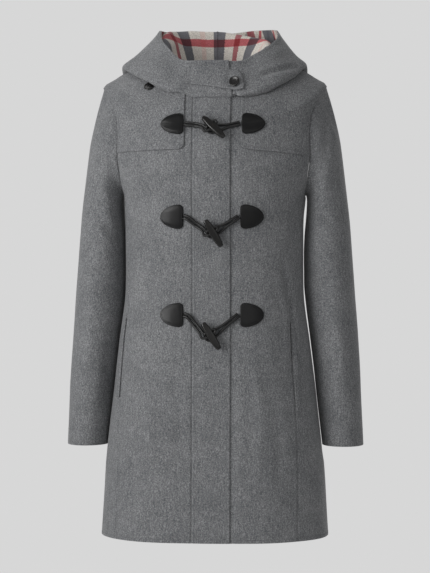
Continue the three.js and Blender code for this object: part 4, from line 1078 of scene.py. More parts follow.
SLEEVE_AROUND = 104
SLEEVE_CUFF_SEAM = 30
HEAD_ROWS = (0.002, 0.006, 0.012, 0.02, 0.03)
CUFF_ROWS = (8.88, 8.91, 8.94, 8.965, 8.982, 8.992, SLEEVE_END)


def sleeve_rows():
    """Places along the sleeve, closer beside the armhole seam and the cuff's edge."""
    cap, arm = spaced(0.0, 1.0, 0.035, (), ()), spaced(1.0, 8.86, 0.078, (), ())
    return np.concatenate([cap[:1], HEAD_ROWS, cap[1:], arm[1:], CUFF_ROWS])[:, None]


def make_sleeve(side, name):
    seam_turn = 2 * np.pi * (np.arange(SLEEVE_AROUND) + 0.5) / SLEEVE_AROUND
    order = sleeve_rows()
    turn = seam_turn[None, :] + 0 * order
    order = order + 0 * turn
    points, normals = sleeve_point(order, turn), sleeve_normal(order, turn)
    for grid in (points, normals):
        grid[..., 0] *= side
    down = relief(points, normals, SLEEVE_CREASES[side], SLEEVE_BACK_CREASES[side])
    gone = running(points, 0)
    left = gone[-1:] - gone
    sink = -0.9 * hump(gone, 1.4) + 0.2 * hump(gone - 4.5, 2.8)
    round_off = fold_over(left, CLOTH)
    groove = -STITCH_GROOVE * hump(left - SLEEVE_CUFF_SEAM, 0.9)
    outer = points + normals * (sink - down - round_off + groove)[..., None]
    inner = points + normals * (sink - down - CLOTH + round_off)[..., None]
    index = np.argmin(np.abs(left[:, 0] - SLEEVE_CUFF_SEAM))
    line = np.vstack([outer[index], outer[index][:1]])
    outs = np.vstack([normals[index], normals[index][:1]])
    finish_cloth(f"sleeve_{name}", (outer, inner), [(line, outs)], True)


HOOD_COLUMNS = ("angle", "rollOut", "rollUp", "foldReach", "foldHeight", "rimReach", "rimHeight", "belly")
HOOD_PLANES = [
    (-210, 20, 64, 152, -139, 128, 62, 28),
    (-180, 16, 73, 142, -165, 134, 59, 34),
    (-150, 21, 72, 152, -138, 131, 58.5, 28),
    (-135, 33, 68, 157, -108, 126, 57, 22),
    (-120, 24, 60, 162, -74, 117, 55.5, 13),
    (-105, 15, 36, 166, -44, 106, 51.5, 5),
    (-90, 8, 12, 161, -25.2, 98, 45, 3),
    (-76, 7, 12, 145, -41, 97, 28, 5),
    (-62, 5, 12, 131.5, -56, 94.5, 14, 6),
    (-48, 4, 9, 120, -68, 90.3, -4.5, 6),
    (-38, 3, 6, 111, -76.5, 88.3, -14, 4.5),
    (-30, 1.5, 4, 104.5, -81.5, 87, -16.2, 3),
    (-22, 0, 1, 101, -83.5, 85.5, -16.8, 1),
    (-12, 0, 1, 101, -83.5, 82, -17, 0),
    (0, 0, 1, 101, -83.5, 80, -17, 0),
    (17, 0, 1, 102, -85, 83, -17.4, 0),
    (24, 1, 3, 105, -90, 84.5, -17.6, 3),
    (33, 2.5, 5, 112, -87, 86.8, -17.5, 5),
    (40, 3, 7, 118, -81, 88.5, -14, 6),
    (48, 4, 9, 127, -75, 91, -7, 7),
    (62, 6, 10, 140, -57.5, 101, 7, 7),
    (76, 8, 9, 150, -42, 110, 23, 5),
    (90, 8.5, 10, 158, -24, 114, 36, 3),
    (105, 15, 27, 163, -45, 117, 48, 6),
    (120, 24, 45, 161, -76, 125, 56, 14),
    (135, 28, 55, 157, -110, 128, 60.5, 22),
    (150, 20, 64, 152, -139, 128, 62, 28),
    (180, 16, 73, 142, -165, 134, 59, 34),
    (210, 21, 72, 152, -138, 131, 58.5, 28),
]
FOLD_HALF = 5.2
HOOD_END = 10
HOOD_REST = YOKE_OUT + 1.2
BUTTON_TURN = -61
BUTTON_LIFT = 3.4
# The hood rests on the coat between these turns from the front, to both sides.
REST_TURNS = (18, 112)
HOOD = read_table(HOOD_COLUMNS, HOOD_PLANES)


def plan_reach(point):
    """How far points lie from the coat's middle line, seen from above."""
    return np.hypot(point[..., 0], point[..., 1])


def rest_on_coat(point, turn, depth):
    """Keeps a part of the hood's cloth from sinking into the coat under it."""
    angle = np.radians(turn)
    low, _ = halved(
        np.full(turn.shape, -230.0),
        np.zeros(turn.shape),
        24,
        lambda height: plan_reach(coat_point(height, angle)) <= point[..., 0],
    )
    slope = np.maximum(0.35, coat_normal(low, angle)[..., 2])
    over_button = BUTTON_LIFT * hump(turn - BUTTON_TURN, 9)
    rest = coat_point(low, angle)[..., 2] + (HOOD_REST + over_button) / slope
    free = (np.abs(turn) > REST_TURNS[1]) | (np.abs(turn) < REST_TURNS[0]) | (depth <= 0.3)
    lifted = np.where(free, point[..., 1], np.maximum(point[..., 1], rest))
    return np.stack([point[..., 0], lifted], -1)


# The hood's stand at the front is not folded: its cloth runs from a low edge up to the rim.
STAND_BOTTOM = -83.5
STAND_LIFT = 3.4
STAND_TURN = 60
# Turns at which the fold begins on each side, and over how many degrees.
FOLD_RIGHT, FOLD_RIGHT_FADE = -22, 9
FOLD_LEFT, FOLD_LEFT_FADE = 19, 8
STAND_SHARES = (0, 0.005, 0.01, 0.015, 0.02, 0.03, 0.045, 0.12, 0.4, 0.7, 1)


def stand_reach(turn):
    """How far out the stand's low edge is, so that it lies on the coat's front."""
    angle = np.radians(np.clip(turn, -STAND_TURN, STAND_TURN))
    low, _ = halved(
        np.full(turn.shape, -60.0),
        np.zeros(turn.shape),
        24,
        lambda height: coat_point(height, angle)[..., 2] > STAND_BOTTOM,
    )
    return plan_reach(coat_point(low, angle)) + STAND_LIFT


def hood_controls(turn, shy=0):
    angle = np.radians(turn)
    seam, below = coat_point(0 * turn, angle), coat_point(0 * turn - 2, angle)

    def flat(point):
        return np.stack([plan_reach(point), point[..., 2]], -1)

    neck = flat(seam)
    start = neck + unit(neck - flat(below)) * 0.2 + (0, 0.25)
    roll = neck + np.stack([HOOD["rollOut"](turn), HOOD["rollUp"](turn)], -1)
    fold = np.stack([HOOD["foldReach"](turn), HOOD["foldHeight"](turn)], -1)
    rim = np.stack([HOOD["rimReach"](turn), HOOD["rimHeight"](turn)], -1)
    rise = rim - fold
    bulge = unit(np.stack([rise[..., 1], -rise[..., 0]], -1))
    depth = clamp01((roll[..., 1] - fold[..., 1]) / 25)
    belly = HOOD["belly"](turn)
    fold_half = FOLD_HALF + belly * 0.18
    lean = depth * np.minimum(4, HOOD["rollOut"](turn) * 0.5 + 1)

    def moved(point, x, y):
        return point + np.stack([x + 0 * depth, y + 0 * depth], -1)

    roll_side = moved(mix(start, roll, 0.55), -lean, 0)
    after_roll = moved(mix(roll, fold, 0.18), depth * 3, depth * 2)
    near_fold = moved(mix(roll, fold, 0.86), -depth, 0)
    fold_out = moved(fold, depth * fold_half, depth * fold_half * 1.3 + 2)
    halfway = mix(roll, fold, 0.5)
    after_roll, halfway, near_fold, fold = (
        rest_on_coat(point, turn, depth) for point in (after_roll, halfway, near_fold, fold)
    )
    low_belly = mix(fold, rim, 0.36) + bulge * (belly + depth * 2)[..., None]
    high_belly = mix(fold, rim, 0.7) + bulge * (belly * 0.75)[..., None]
    into_pouch = unit(mix(halfway, low_belly, 0.5) - fold)
    shift = (shy * depth)[..., None]
    near_fold = near_fold + unit(halfway - near_fold) * shift * 0.9
    fold, fold_out = fold + into_pouch * shift, fold_out + into_pouch * shift * 0.9
    to_fold = [start, roll_side, roll, after_roll, halfway, near_fold, fold]
    folded = [*to_fold, fold_out, low_belly, high_belly, rim]
    level = np.where(np.abs(turn) < STAND_TURN, STAND_BOTTOM, 0.0)
    stand = np.stack([stand_reach(turn), level], -1)
    plain = [mix(stand, rim, share) for share in STAND_SHARES]
    on_right = smooth((FOLD_RIGHT - turn) / FOLD_RIGHT_FADE)
    on_left = smooth((turn - FOLD_LEFT) / FOLD_LEFT_FADE)
    foldedness = np.maximum(on_right, on_left)[..., None]
    return np.stack([mix(upright, point, foldedness) for upright, point in zip(plain, folded)])


def hood_point(turn, place, shy=0):
    """Points of the hood's cloth: one column for each turn, one row for each place."""
    controls = hood_controls(turn, shy)
    place = np.broadcast_to(place, (np.shape(place)[0], len(turn)))
    i = np.clip(np.floor(place).astype(int), 0, HOOD_END - 1)
    t = (place - i)[..., None]
    columns = np.arange(len(turn))[None, :]
    a, b = controls[np.maximum(0, i - 1), columns], controls[i, columns]
    c, d = controls[i + 1, columns], controls[np.minimum(HOOD_END, i + 2), columns]
    flat = 0.5 * (
        2 * b + (c - a) * t + (2 * a - 5 * b + 4 * c - d) * t**2 + (3 * b - a - 3 * c + d) * t**3
    )
    angle = np.radians(turn)[None, :]
    return np.stack([flat[..., 0] * np.sin(angle), -flat[..., 0] * np.cos(angle), flat[..., 1]], -1)


def hood_normal(turn, place, shy=0):
    early, late = np.maximum(0, place - 0.03), np.minimum(HOOD_END, place + 0.03)
    along = hood_point(turn, late, shy) - hood_point(turn, early, shy)
    round_it = hood_point(turn + 0.4, place, shy) - hood_point(turn - 0.4, place, shy)
    return unit(np.cross(round_it, along))


def hood_grid(turn, place, shy=0):
    return hood_point(turn, place, shy), hood_normal(turn, place, shy)


# Creases of the hood: in pixels of the photo, as on the fronts.
HOOD_CREASES = [
    (257, 77, 303, 67, 4.2, 3.4),
    (236, 70, 254, 64, 6.0, 0.8),
    (176, 62, 158, 45, 8.0, 0.9),
    (142, 60, 172, 82, 9.0, -0.9),
    (268, 58, 292, 48, 6.0, -0.9),
    (262, 93, 285, 82, 5.0, 1.0),
]
HOOD_BACK_CREASES = [
    (-78, -20, -112, -70, 9, 2.6),
    (52, 20, 96, -42, 10, 2.2),
    (-20, -88, 34, -100, 12, 1.8),
    (-96, 22, -60, 34, 8, 1.4),
    (10, -30, 30, -120, 11, -1.6),
    (84, -74, 120, -52, 8, 2.0),
]


def hood_places():
    """Places from the neck seam to the rim, closer beside both."""
    part = spaced(0.0, float(HOOD_END), 0.1, (), ())
    by_rim = [HOOD_END - gap for gap in (0.16, 0.115, 0.075, 0.04, 0.017)]
    return np.array(sorted([*part, 0.01, 0.03, 0.055, *by_rim]))[:, None]


def hood_turns(start, stop):
    """Plan angles with closer ones beside the free front edge and the centre back seam."""
    return spaced(start, stop, 1.7, (0.2, 0.55, 1.0, 1.7, 2.6, 3.5, 4.3), (0.15, 0.4, 0.8, 1.5))


def make_hood(side, name):
    front_x = PLACKET_HALF if side < 0 else UNDERLAP_EDGE
    start = float(np.degrees(angle_at_x(0.0, front_x)))
    turns, places = hood_turns(start, side * 180.0), hood_places()
    points, normals = hood_grid(turns, places)
    x = points[..., 0]
    lap = front_overlap(x) if side < 0 else front_underlap(x)
    lift = np.where(np.abs(turns) < 90, lap, 0.0)
    down = relief(points, normals, HOOD_CREASES, HOOD_BACK_CREASES) * smooth(places / 1.5)
    edges = {"left": "folded", "right": "seam", "bottom": "seam", "top": "folded"}
    rows = [("top", STITCH_LINE), ("bottom", SEAM_STITCH, (0.0, 0.18 if side < 0 else 0.05))]
    make_cloth(f"hood_{name}", points, normals, lift, HOOD_CLOTH, edges, down, rows)


FACING_TURN = 42
LINING_SHY = 3
LINING_EASE = 0.6
LINING_SLACK = 0.6
ROLL_PLACE = 15


def make_lining(side, name):
    turns, places = hood_turns(side * float(FACING_TURN), side * 180.0), hood_places()
    points, normals = hood_grid(turns, places, LINING_SHY)
    lap = front_underlap(points[..., 0]) if side > 0 else 0.0
    lap = np.where(np.abs(turns) < 90, lap, 0.0)
    ease = LINING_EASE * hump(places - 6.4, 1.7) - LINING_SLACK * hump(places - 6.5, 0.6)
    fold = clamp01((HOOD["foldReach"](turns) - 100) / 12)
    lift = lap - HOOD_CLOTH - LAYER_GAP - fold * ease
    down = relief(points, normals, HOOD_CREASES, HOOD_BACK_CREASES) * smooth(places / 1.5)
    edges = {"right": "seam", "bottom": "seam"}
    around = running(points, 1)[ROLL_PLACE]
    u = side * (around[-1] - around)[None, :] + 0 * places
    uv = np.stack([u, running(points, 0)], -1)
    make_cloth(f"hood_lining_{name}", points, normals, lift, LINING_CLOTH, edges, down, uv=uv)


def hood_outer_spot(turn, z):
    """The highest place on the hood's cloth, from the rim down, that lies at height z."""
    places = np.linspace(HOOD_END, 0, 401)[:, None]
    heights = np.minimum.accumulate(hood_point(turn, places)[..., 2])
    found = [np.interp(-z[:, i], -heights[:, i], places[:, 0]) for i in range(np.shape(z)[1])]
    return np.stack(found, -1)


TAB_START = -43
TAB_END = 47.5
TAB_LEFT_BOTTOM = -60
TAB_RIGHT_BOTTOM = -73.6
TAB_WIDTH = 36
TAB_CORNER = 9
TAB_REACH = 94
TAB_LIFT = 0.8
TAB_LEFT_LIFT = 1.8
TAB_STITCH = 4.8


def tab_base(x):
    """How far the tab's underside lies off the hood: on the overlapping right, then on the left."""
    on_right = front_overlap(x) + TAB_LIFT
    beyond = mix(on_right, TAB_LEFT_LIFT, smooth((x - PLACKET_HALF) / 10))
    return np.where(x <= PLACKET_HALF, on_right, beyond)


def make_tab():
    x = spaced(float(TAB_START), float(TAB_END), 2.6)[None, :]
    slope = (x - TAB_START) / (TAB_END - TAB_START)
    rounded = rounding(TAB_END - x, TAB_CORNER)
    bottom = mix(TAB_LEFT_BOTTOM, TAB_RIGHT_BOTTOM, slope) + rounded
    part = spaced(0.0, float(TAB_WIDTH), 2.6)[:, None] / TAB_WIDTH
    z = bottom + (TAB_WIDTH - 2 * rounded) * part
    turn = np.degrees(np.arcsin(x[0] / TAB_REACH))
    place = hood_outer_spot(turn, z)
    points, normals = hood_grid(turn, place)
    lift = tab_base(x) + 0 * part + FLAP_CLOTH
    rows = [(edge, TAB_STITCH) for edge in ("bottom", "top", "right", "left")]
    face = make_cloth("throat_tab", points, normals, lift, FLAP_CLOTH, FLAP_EDGES, rows=rows)
    make_buttonhole(face, normals)


BUTTONHOLE_X = 25
BUTTONHOLE_LOW = -61
BUTTONHOLE_LONG = 17
BUTTONHOLE_HALF = 1.6
BUTTONHOLE_STITCH = (1.3, 1.2, 0.6)


def make_buttonhole(face, normals):
    """A short row of close stitches each side of the slit, beside the button."""
    lines = []
    column = np.argmin(np.abs(face[len(face) // 2, :, 0] - BUTTONHOLE_X))
    for beside in (-1, 1):
        points = face[:, column] + np.array([beside * BUTTONHOLE_HALF, 0, 0])
        keep = (points[:, 2] > BUTTONHOLE_LOW) & (points[:, 2] < BUTTONHOLE_LOW + BUTTONHOLE_LONG)
        lines.append((points[keep], normals[:, column][keep]))
    stitch_object("thread_buttonhole", lines, GREY_THREAD, "wool", *BUTTONHOLE_STITCH)


def bar_between(start, stop, half, sides=16):
    """Vertices and faces of a round bar."""
    start, stop = np.array(start, float), np.array(stop, float)
    way = unit(stop - start)
    side = unit(np.cross(way, (0.3, 0.5, 0.81)))
    other = np.cross(way, side)
    turns = round_turns(sides)
    ring = half * (np.cos(turns)[:, None] * side + np.sin(turns)[:, None] * other)
    vertices = np.concatenate([start + ring, stop + ring])
    faces = tube_faces(2, sides)
    faces.append(tuple(range(sides))[::-1])
    faces.append(tuple(range(sides, 2 * sides)))
    return vertices, faces


def turned_object(name, profile, sides, material, squash=None):
    """A round body from pairs of distance along its own Z and radius."""
    mesh = bpy.data.meshes.new(name)
    shape = bmesh.new()
    rings = []
    squash = squash or (lambda z, x, y: (x, y, z))
    for z, radius in profile:
        ring = [squash(z, radius * math.cos(t), radius * math.sin(t)) for t in round_turns(sides)]
        rings.append([shape.verts.new(Vector(v) * MM) for v in ring])
    for low, high in zip(rings, rings[1:]):
        for i in range(sides):
            j = (i + 1) % sides
            shape.faces.new((low[i], low[j], high[j], high[i]))
    shape.faces.new(rings[0][::-1])
    shape.faces.new(rings[-1])
    bmesh.ops.recalc_face_normals(shape, faces=shape.faces)
    shape.to_mesh(mesh)
    shape.free()
    mesh.materials.append(material)
    return linked(name, mesh)


def drill(thing, bars):
    """Cuts round holes, each from one point to another with a half width."""
    for start, stop, half in bars:
        vertices, faces = bar_between(start, stop, half)
        mesh = bpy.data.meshes.new("bar")
        mesh.from_pydata((vertices * MM).tolist(), [], faces)
        bar = linked("bar", mesh)
        cut = thing.modifiers.new("cut", "BOOLEAN")
        cut.operation = "DIFFERENCE"
        cut.solver = "EXACT"
        cut.object = bar
        dg = bpy.context.evaluated_depsgraph_get()
        whole = bpy.data.meshes.new_from_object(thing.evaluated_get(dg))
        thing.modifiers.clear()
        thing.data = whole
        bpy.data.objects.remove(bar)


def shade(thing, angle=40):
    """Smooth shading that keeps edges sharper than an angle."""
    mesh = thing.data
    shape = bmesh.new()
    shape.from_mesh(mesh)
    for edge in shape.edges:
        faces = edge.link_faces
        edge.smooth = len(faces) == 2 and faces[0].normal.angle(faces[1].normal, 0) < math.radians(angle)
    for face in shape.faces:
        face.smooth = True
    shape.to_mesh(mesh)
    shape.free()


def place_on(thing, origin, x_axis, y_axis, z_axis):
    """Moves a mesh made round the origin, in millimetres, onto its spot."""
    axes = np.stack([x_axis, y_axis, z_axis], 1)
    mesh = thing.data
    points = np.empty(len(mesh.vertices) * 3)
    mesh.vertices.foreach_get("co", points)
    moved = points.reshape(-1, 3) @ axes.T + np.asarray(origin) * MM
    mesh.vertices.foreach_set("co", moved.reshape(-1))
    mesh.update()


def axes_on(normal):
    z_axis = unit(np.asarray(normal))
    x_axis = unit(np.cross((0, 0, 1.0), z_axis))
    return x_axis, np.cross(z_axis, x_axis), z_axis


BUTTON_SIDES = 48


def button_profile(radius, thick):
    return [
        (0, radius * 0.76),
        (thick * 0.1, radius * 0.86),
        (thick * 0.35, radius * 0.97),
        (thick * 0.6, radius),
        (thick * 0.82, radius * 0.99),
        (thick * 0.96, radius * 0.94),
        (thick, radius * 0.87),
        (thick * 0.98, radius * 0.78),
        (thick * 0.86, radius * 0.7),
        (thick * 0.76, radius * 0.62),
        (thick * 0.74, radius * 0.3),
    ]


def make_button(name, radius, thick, point, normal):
    """A button with four holes, sewn on with two stitches."""
    button = turned_object(f"horn_{name}", button_profile(radius, thick), BUTTON_SIDES, HORN)
    aside = (-radius * 0.2, radius * 0.2)
    drill(button, [((x, y, -1), (x, y, thick + 1), radius * 0.1) for x in aside for y in aside])
    shade(button)
    axes = axes_on(normal)
    place_on(button, point, *axes)
    stand_for(button, "horn", name)
    spots = np.array([point + axes[0] * x + axes[2] * thick * 0.8 for x in aside])
    ways, outs = (np.repeat(axis[None], 2, 0) for axis in axes[1:])
    stitches = spindles(spots, ways, outs, radius * 0.62, radius * 0.07)
    stand_for(mesh_object(f"thread_{name}", *stitches, BLACK_THREAD), "horn")


# Buttons: radius, thickness and where they are seen.
TAB_BUTTON = (9.5, 3.2, 38.4, -58)
NECK_BUTTON = (9, 2.6, -112, -63)


def make_buttons():
    radius, thick, x, z = TAB_BUTTON
    turn = np.degrees(np.arcsin(np.array([x]) / TAB_REACH))
    place = hood_outer_spot(turn, np.array([[z]]))
    point, normal = (grid[0, 0] for grid in hood_grid(turn, place))
    lift = float(tab_base(x)) + FLAP_CLOTH + LAYER_GAP + 0.5
    make_button("throat_button", radius, thick, point + normal * lift, normal)
    radius, thick, x, z = NECK_BUTTON
    point, normal = coat_grid(*front_spot(x, z))
    lift = YOKE_OUT + LAYER_GAP + 0.2
    make_button("neck_button", radius, thick, point + normal * lift, normal)


CLOSURE_COLUMNS = ("name", "z", "under", "rightX", "leftX", "halfTall", "toggleX", "toggleZ", "tilt")
CLOSURES = [
    dict(zip(CLOSURE_COLUMNS, row))
    for row in (
        ("top", -132, YOKE_OUT, 48, 52.5, 18.5, 4.5, -143, 47),
        ("middle", -293, 0, 48.5, 50.5, 21, 4.8, -321, 59),
        ("bottom", -463.5, 0, 48.5, 50, 21, 1, -500, 58),
    )
]
PATCH_LONG = 40
PATCH_THICK = 2.2
PATCH_DOME = 1.0
PATCH_ROUND = 1.75
PATCH_TIP = 0.12
PATCH_CORNER = 8
# Shares of the patch's length that are straight and curved.
PATCH_STRAIGHT, PATCH_CURVED = 0.18, 0.82
PATCH_STITCH_IN = 2.6
PATCH_STITCH_START = 1.6
PATCH_STITCH_SHORT = 4.4
PATCH_STITCH = (2.9, 2.2, 0.3)


def patch_height(part):
    """Share of the patch's full height at a share of its length, before its tip is blunted."""
    return np.sqrt(np.maximum(0, 1 - clamp01((part - PATCH_STRAIGHT) / PATCH_CURVED) ** PATCH_ROUND))


def under_patch(closure, side, along, up):
    """The coat under a patch, along from its straight end and up from its middle."""
    flat_x = closure["rightX"] if side < 0 else closure["leftX"]
    return coat_grid(*front_spot(side * (flat_x + along), closure["z"] + up))


def make_patch(closure, side, name):
    part = spaced(0.0, float(PATCH_LONG), 1.7, (0.3, 0.8), (0.05, 0.15, 0.4, 0.8, 1.2))[None, :]
    part = part / PATCH_LONG
    across = spaced(-1.0, 1.0, 0.08, (0.015, 0.04), (0.015, 0.04))[:, None]
    corner = rounding(part * PATCH_LONG, PATCH_CORNER)
    tall = np.maximum(patch_height(part), PATCH_TIP) - corner * 0.85 / closure["halfTall"]
    half = closure["halfTall"] * tall
    points, normals = under_patch(closure, side, PATCH_LONG * part, across * half)
    edge = np.minimum(np.minimum((1 - np.abs(across)) * tall, 1 - part), part + 0.35)
    dome = PATCH_DOME * np.sqrt(clamp01(edge * 2.2))
    rim = np.minimum((1 - np.abs(across)) * half, PATCH_LONG * np.minimum(1 - part, part))
    dome = dome - 0.45 * hump(rim - PATCH_STITCH_IN, 0.7) - 0.9 * (1 - smooth(rim / 0.9))
    low = closure["under"] + LAYER_GAP + TRIM_GAP
    outer = points + normals * (low + PATCH_THICK + dome)[..., None]
    patch = cloth_object(f"leather_patch_{name}", outer, points + normals * low, LEATHER)
    stand_for(patch, "patch_leather", f"patch_{name}")
    stitch_patch(closure, side, name, low + PATCH_THICK + PATCH_DOME * 0.55)


def stitch_patch(closure, side, name, level):
    """A row of stitches just inside the patch's curved outline."""
    around = []
    turn = np.linspace(0, 1, 60)[1:-1]
    for sign, at in ((-1, turn), (1, turn[::-1])):
        up = sign * np.maximum(patch_height(at) * closure["halfTall"] - PATCH_STITCH_IN, 0.4)
        around.append(np.stack([at * (PATCH_LONG - PATCH_STITCH_SHORT) + PATCH_STITCH_START, up], -1))
    line, outs = under_patch(closure, side, *np.concatenate(around).T)
    lines = [(line + outs * level, outs)]
    stitch_object(f"thread_patch_{name}", lines, BLACK_THREAD, "patch_leather", *PATCH_STITCH)


CORD_RADIUS = 2.3
CORD_LAY = CORD_RADIUS + LAYER_GAP + 0.5
LOOP_LEVEL = PLACKET_RISE + CORD_LAY
TOGGLE_LEVEL = LOOP_LEVEL + CORD_RADIUS + LAYER_GAP + 6.3
HOLE_SPACING = 3.5
HOLE_MIDDLE = -5
STRAND_HALF = 2.65
TOGGLE_PROFILE = [
    (-27, 1.2),
    (-26.8, 2.2),
    (-26.2, 3.1),
    (-25, 3.8),
    (-21, 4.55),
    (-16, 5.2),
    (-10, 5.75),
    (-4, 6.05),
    (2, 6.1),
    (9, 5.8),
    (15, 5.3),
    (21, 4.5),
    (25, 3.7),
    (26.2, 3.0),
    (26.8, 2.1),
    (27, 1.2),
]
TOGGLE_FULL = 1.18
TOGGLE_SIDES = 40
TOGGLE_FLAT = 4.6


def toggle_frame(closure):
    """The toggle's middle on the cloth, outward, its long way and the way its holes run."""
    middle, outward = coat_grid(*front_spot(closure["toggleX"], closure["toggleZ"]))
    tilt = math.radians(closure["tilt"])
    long = np.array([math.cos(tilt), 0, -math.sin(tilt)])
    long = unit(long - outward * (long @ outward))
    through = unit(np.cross(outward, long))
    return middle, outward, long, through if through[0] > 0 else -through


def make_toggle(closure):
    middle, outward, long, through = toggle_frame(closure)
    name = f"toggle_{closure['name']}"
    other = np.cross(long, through)
    front = 1 if other @ outward > 0 else -1

    def horn_section(z, x, y):
        """Round, with a long flat planed along the face that shows."""
        flat = TOGGLE_FLAT - 0.0022 * z * z
        return x * TOGGLE_FULL, front * min(front * y, flat), z

    toggle = turned_object(f"horn_{name}", TOGGLE_PROFILE, TOGGLE_SIDES, HORN, horn_section)
    holes = [HOLE_MIDDLE + sign * HOLE_SPACING for sign in (-1, 1)]
    drill(toggle, [((-12, 0, z), (12, 0, z), CORD_RADIUS + 0.4) for z in holes])
    shade(toggle, 28)
    place_on(toggle, middle + outward * TOGGLE_LEVEL, through, other, long)
    stand_for(toggle, "horn", name)


def rounded_path(stops):
    """A centripetal curve through some stops, as evenly spaced points."""
    stops = np.array(stops)
    ends = [2 * stops[0] - stops[1], *stops, 2 * stops[-1] - stops[-2]]
    found = []
    for p0, p1, p2, p3 in zip(ends, ends[1:], ends[2:], ends[3:]):
        d0, d1, d2 = (max(np.linalg.norm(b - a) ** 0.5, 1e-4) for a, b in ((p0, p1), (p1, p2), (p2, p3)))
        m1 = ((p1 - p0) / d0 - (p2 - p0) / (d0 + d1) + (p2 - p1) / d1) * d1
        m2 = ((p2 - p1) / d1 - (p3 - p1) / (d1 + d2) + (p3 - p2) / d2) * d1
        for t in np.linspace(0, 1, 24, endpoint=False):
            found.append(
                p1
                + m1 * t
                + (-3 * p1 + 3 * p2 - 2 * m1 - m2) * t**2
                + (2 * p1 - 2 * p2 + m1 + m2) * t**3
            )
    found = np.array([*found, stops[-1]])
    gone = running_line(found)
    return read_between(np.linspace(0, gone[-1], round(gone[-1] / CORD_STEP) + 1), gone, found)


# The cord's mesh: its sides, and how its plait swells and how far it turns from ring to ring.
CORD_SIDES = 14
CORD_STEP = 1.1
PLAIT_SWELL = 0.055
PLAIT_TURN = 0.95


def make_cord(name, stops):
    """A round plaited cord along a path."""
    path = rounded_path(stops)
    ahead = np.vstack([path[1:], path[-1:]])
    behind = np.vstack([path[:1], path[:-1]])
    across = np.array([0.0, -1.0, 0.0])
    turns = round_turns(CORD_SIDES)
    rings = []
    for i, (spot, along) in enumerate(zip(path, unit(ahead - behind))):
        across = unit(across - along * (across @ along))
        other = np.cross(along, across)
        turned = i * PLAIT_TURN
        plait = 1 + PLAIT_SWELL * np.cos(3 * turns + turned) * np.cos(3 * turns - turned)
        radius = CORD_RADIUS * plait[:, None]
        rings.append(spot + radius * (np.cos(turns)[:, None] * across + np.sin(turns)[:, None] * other))
    faces = tube_faces(len(path), CORD_SIDES)
    last = (len(path) - 1) * CORD_SIDES
    for k in range(1, CORD_SIDES - 2, 2):
        for end in (0, last):
            faces.append((end, end + k, end + k + 1, end + k + 2))
    cord = mesh_object(f"plait_{name}", np.concatenate(rings), faces, CORD)
    stand_for(cord, "cord", name)


def cloth_point(x, z, out):
    point, normal = coat_grid(*front_spot(x, z))
    return point + normal * out


# How far short of the patch the cord's ends stop. Then where the cord nears the toggle's holes and turns
# beyond them: across the toggle, along it from the middle of its holes and how far in toward the cloth.
CORD_SHORT = 1.5
CORD_BESIDE = (-12, -9, 2.4)
CORD_ENTRY = (-12.6, -1, 1.6)
CORD_AT_HOLE = (-10.5, 0, 0)
CORD_TURN = 10.2


def make_toggle_cord(closure):
    middle, outward, long, through = toggle_frame(closure)
    patch_x = -(closure["rightX"] - CORD_SHORT)
    on_placket = max(closure["under"], PLACKET_RISE) + CORD_LAY + 0.6

    def at(across, along, inward=0):
        lengthwise = long * (HOLE_MIDDLE + along)
        return middle + outward * TOGGLE_LEVEL + through * across + lengthwise - outward * inward

    beside = at(*CORD_BESIDE)
    leave_x, leave_z = patch_x + 7, closure["z"] - 2
    outside = [
        cloth_point(patch_x, closure["z"], closure["under"] + CORD_LAY),
        cloth_point(leave_x, leave_z, on_placket),
        cloth_point(mix(leave_x, beside[0], 0.5), mix(leave_z, beside[2], 0.5), on_placket + 0.6),
        beside,
        at(*CORD_ENTRY),
        at(*CORD_AT_HOLE),
    ]

    def strand(sign):
        points = []
        for i, point in enumerate(outside[:-1]):
            way = outside[i + 1] - outside[max(0, i - 1)]
            half = STRAND_HALF if i < 4 else (STRAND_HALF + HOLE_SPACING) / 2
            points.append(point + unit(np.cross(way, outward)) * sign * half)
        return points + [at(across, sign * HOLE_SPACING) for across in (-8, 0, 7)]

    turn_back = [at(CORD_TURN, HOLE_SPACING * sign * 0.62) for sign in (1, -1)]
    make_cord(f"toggle_cord_{closure['name']}", strand(1) + turn_back + strand(-1)[::-1])


# How far short of the patch the loop's ends stop and how far its strands lie from its middle line.
LOOP_SHORT = 3.1
LOOP_HALF = 2.6
# The loop round the toggle's middle: how far toward the patch and how wide from its middle line.
LOOP_ROUND = [(9, 5.2), (0, 5.8), (-7, 4.2)]
LOOP_TIP = -10.5


def make_loop_cord(closure):
    middle = toggle_frame(closure)[0]
    patch_x = closure["leftX"] - LOOP_SHORT
    span = np.array([patch_x - middle[0], closure["z"] - middle[2]])
    long = np.hypot(*span)

    def strand(along, half, out):
        x = middle[0] + (span[0] * along - span[1] * half) / long
        z = middle[2] + (span[1] * along + span[0] * half) / long
        return cloth_point(x, z, out)

    def leg(sign):
        on_patch = closure["under"] + CORD_LAY
        return [
            strand(long, sign * LOOP_HALF, on_patch),
            strand(long - 8, sign * LOOP_HALF, max(on_patch, LOOP_LEVEL)),
            strand(long * 0.5, sign * 2.8, LOOP_LEVEL),
            *(strand(along, sign * half, LOOP_LEVEL) for along, half in LOOP_ROUND),
        ]

    stops = leg(1) + [strand(LOOP_TIP, 0, LOOP_LEVEL)] + leg(-1)[::-1]
    make_cord(f"loop_cord_{closure['name']}", stops)


WELT_WIDE = 6
WELT_THICK = 1.4
WELT_STITCH = 1.2
WELT_SPAN = {-1: (-610.0, -470.0), 1: (-632.0, -478.0)}


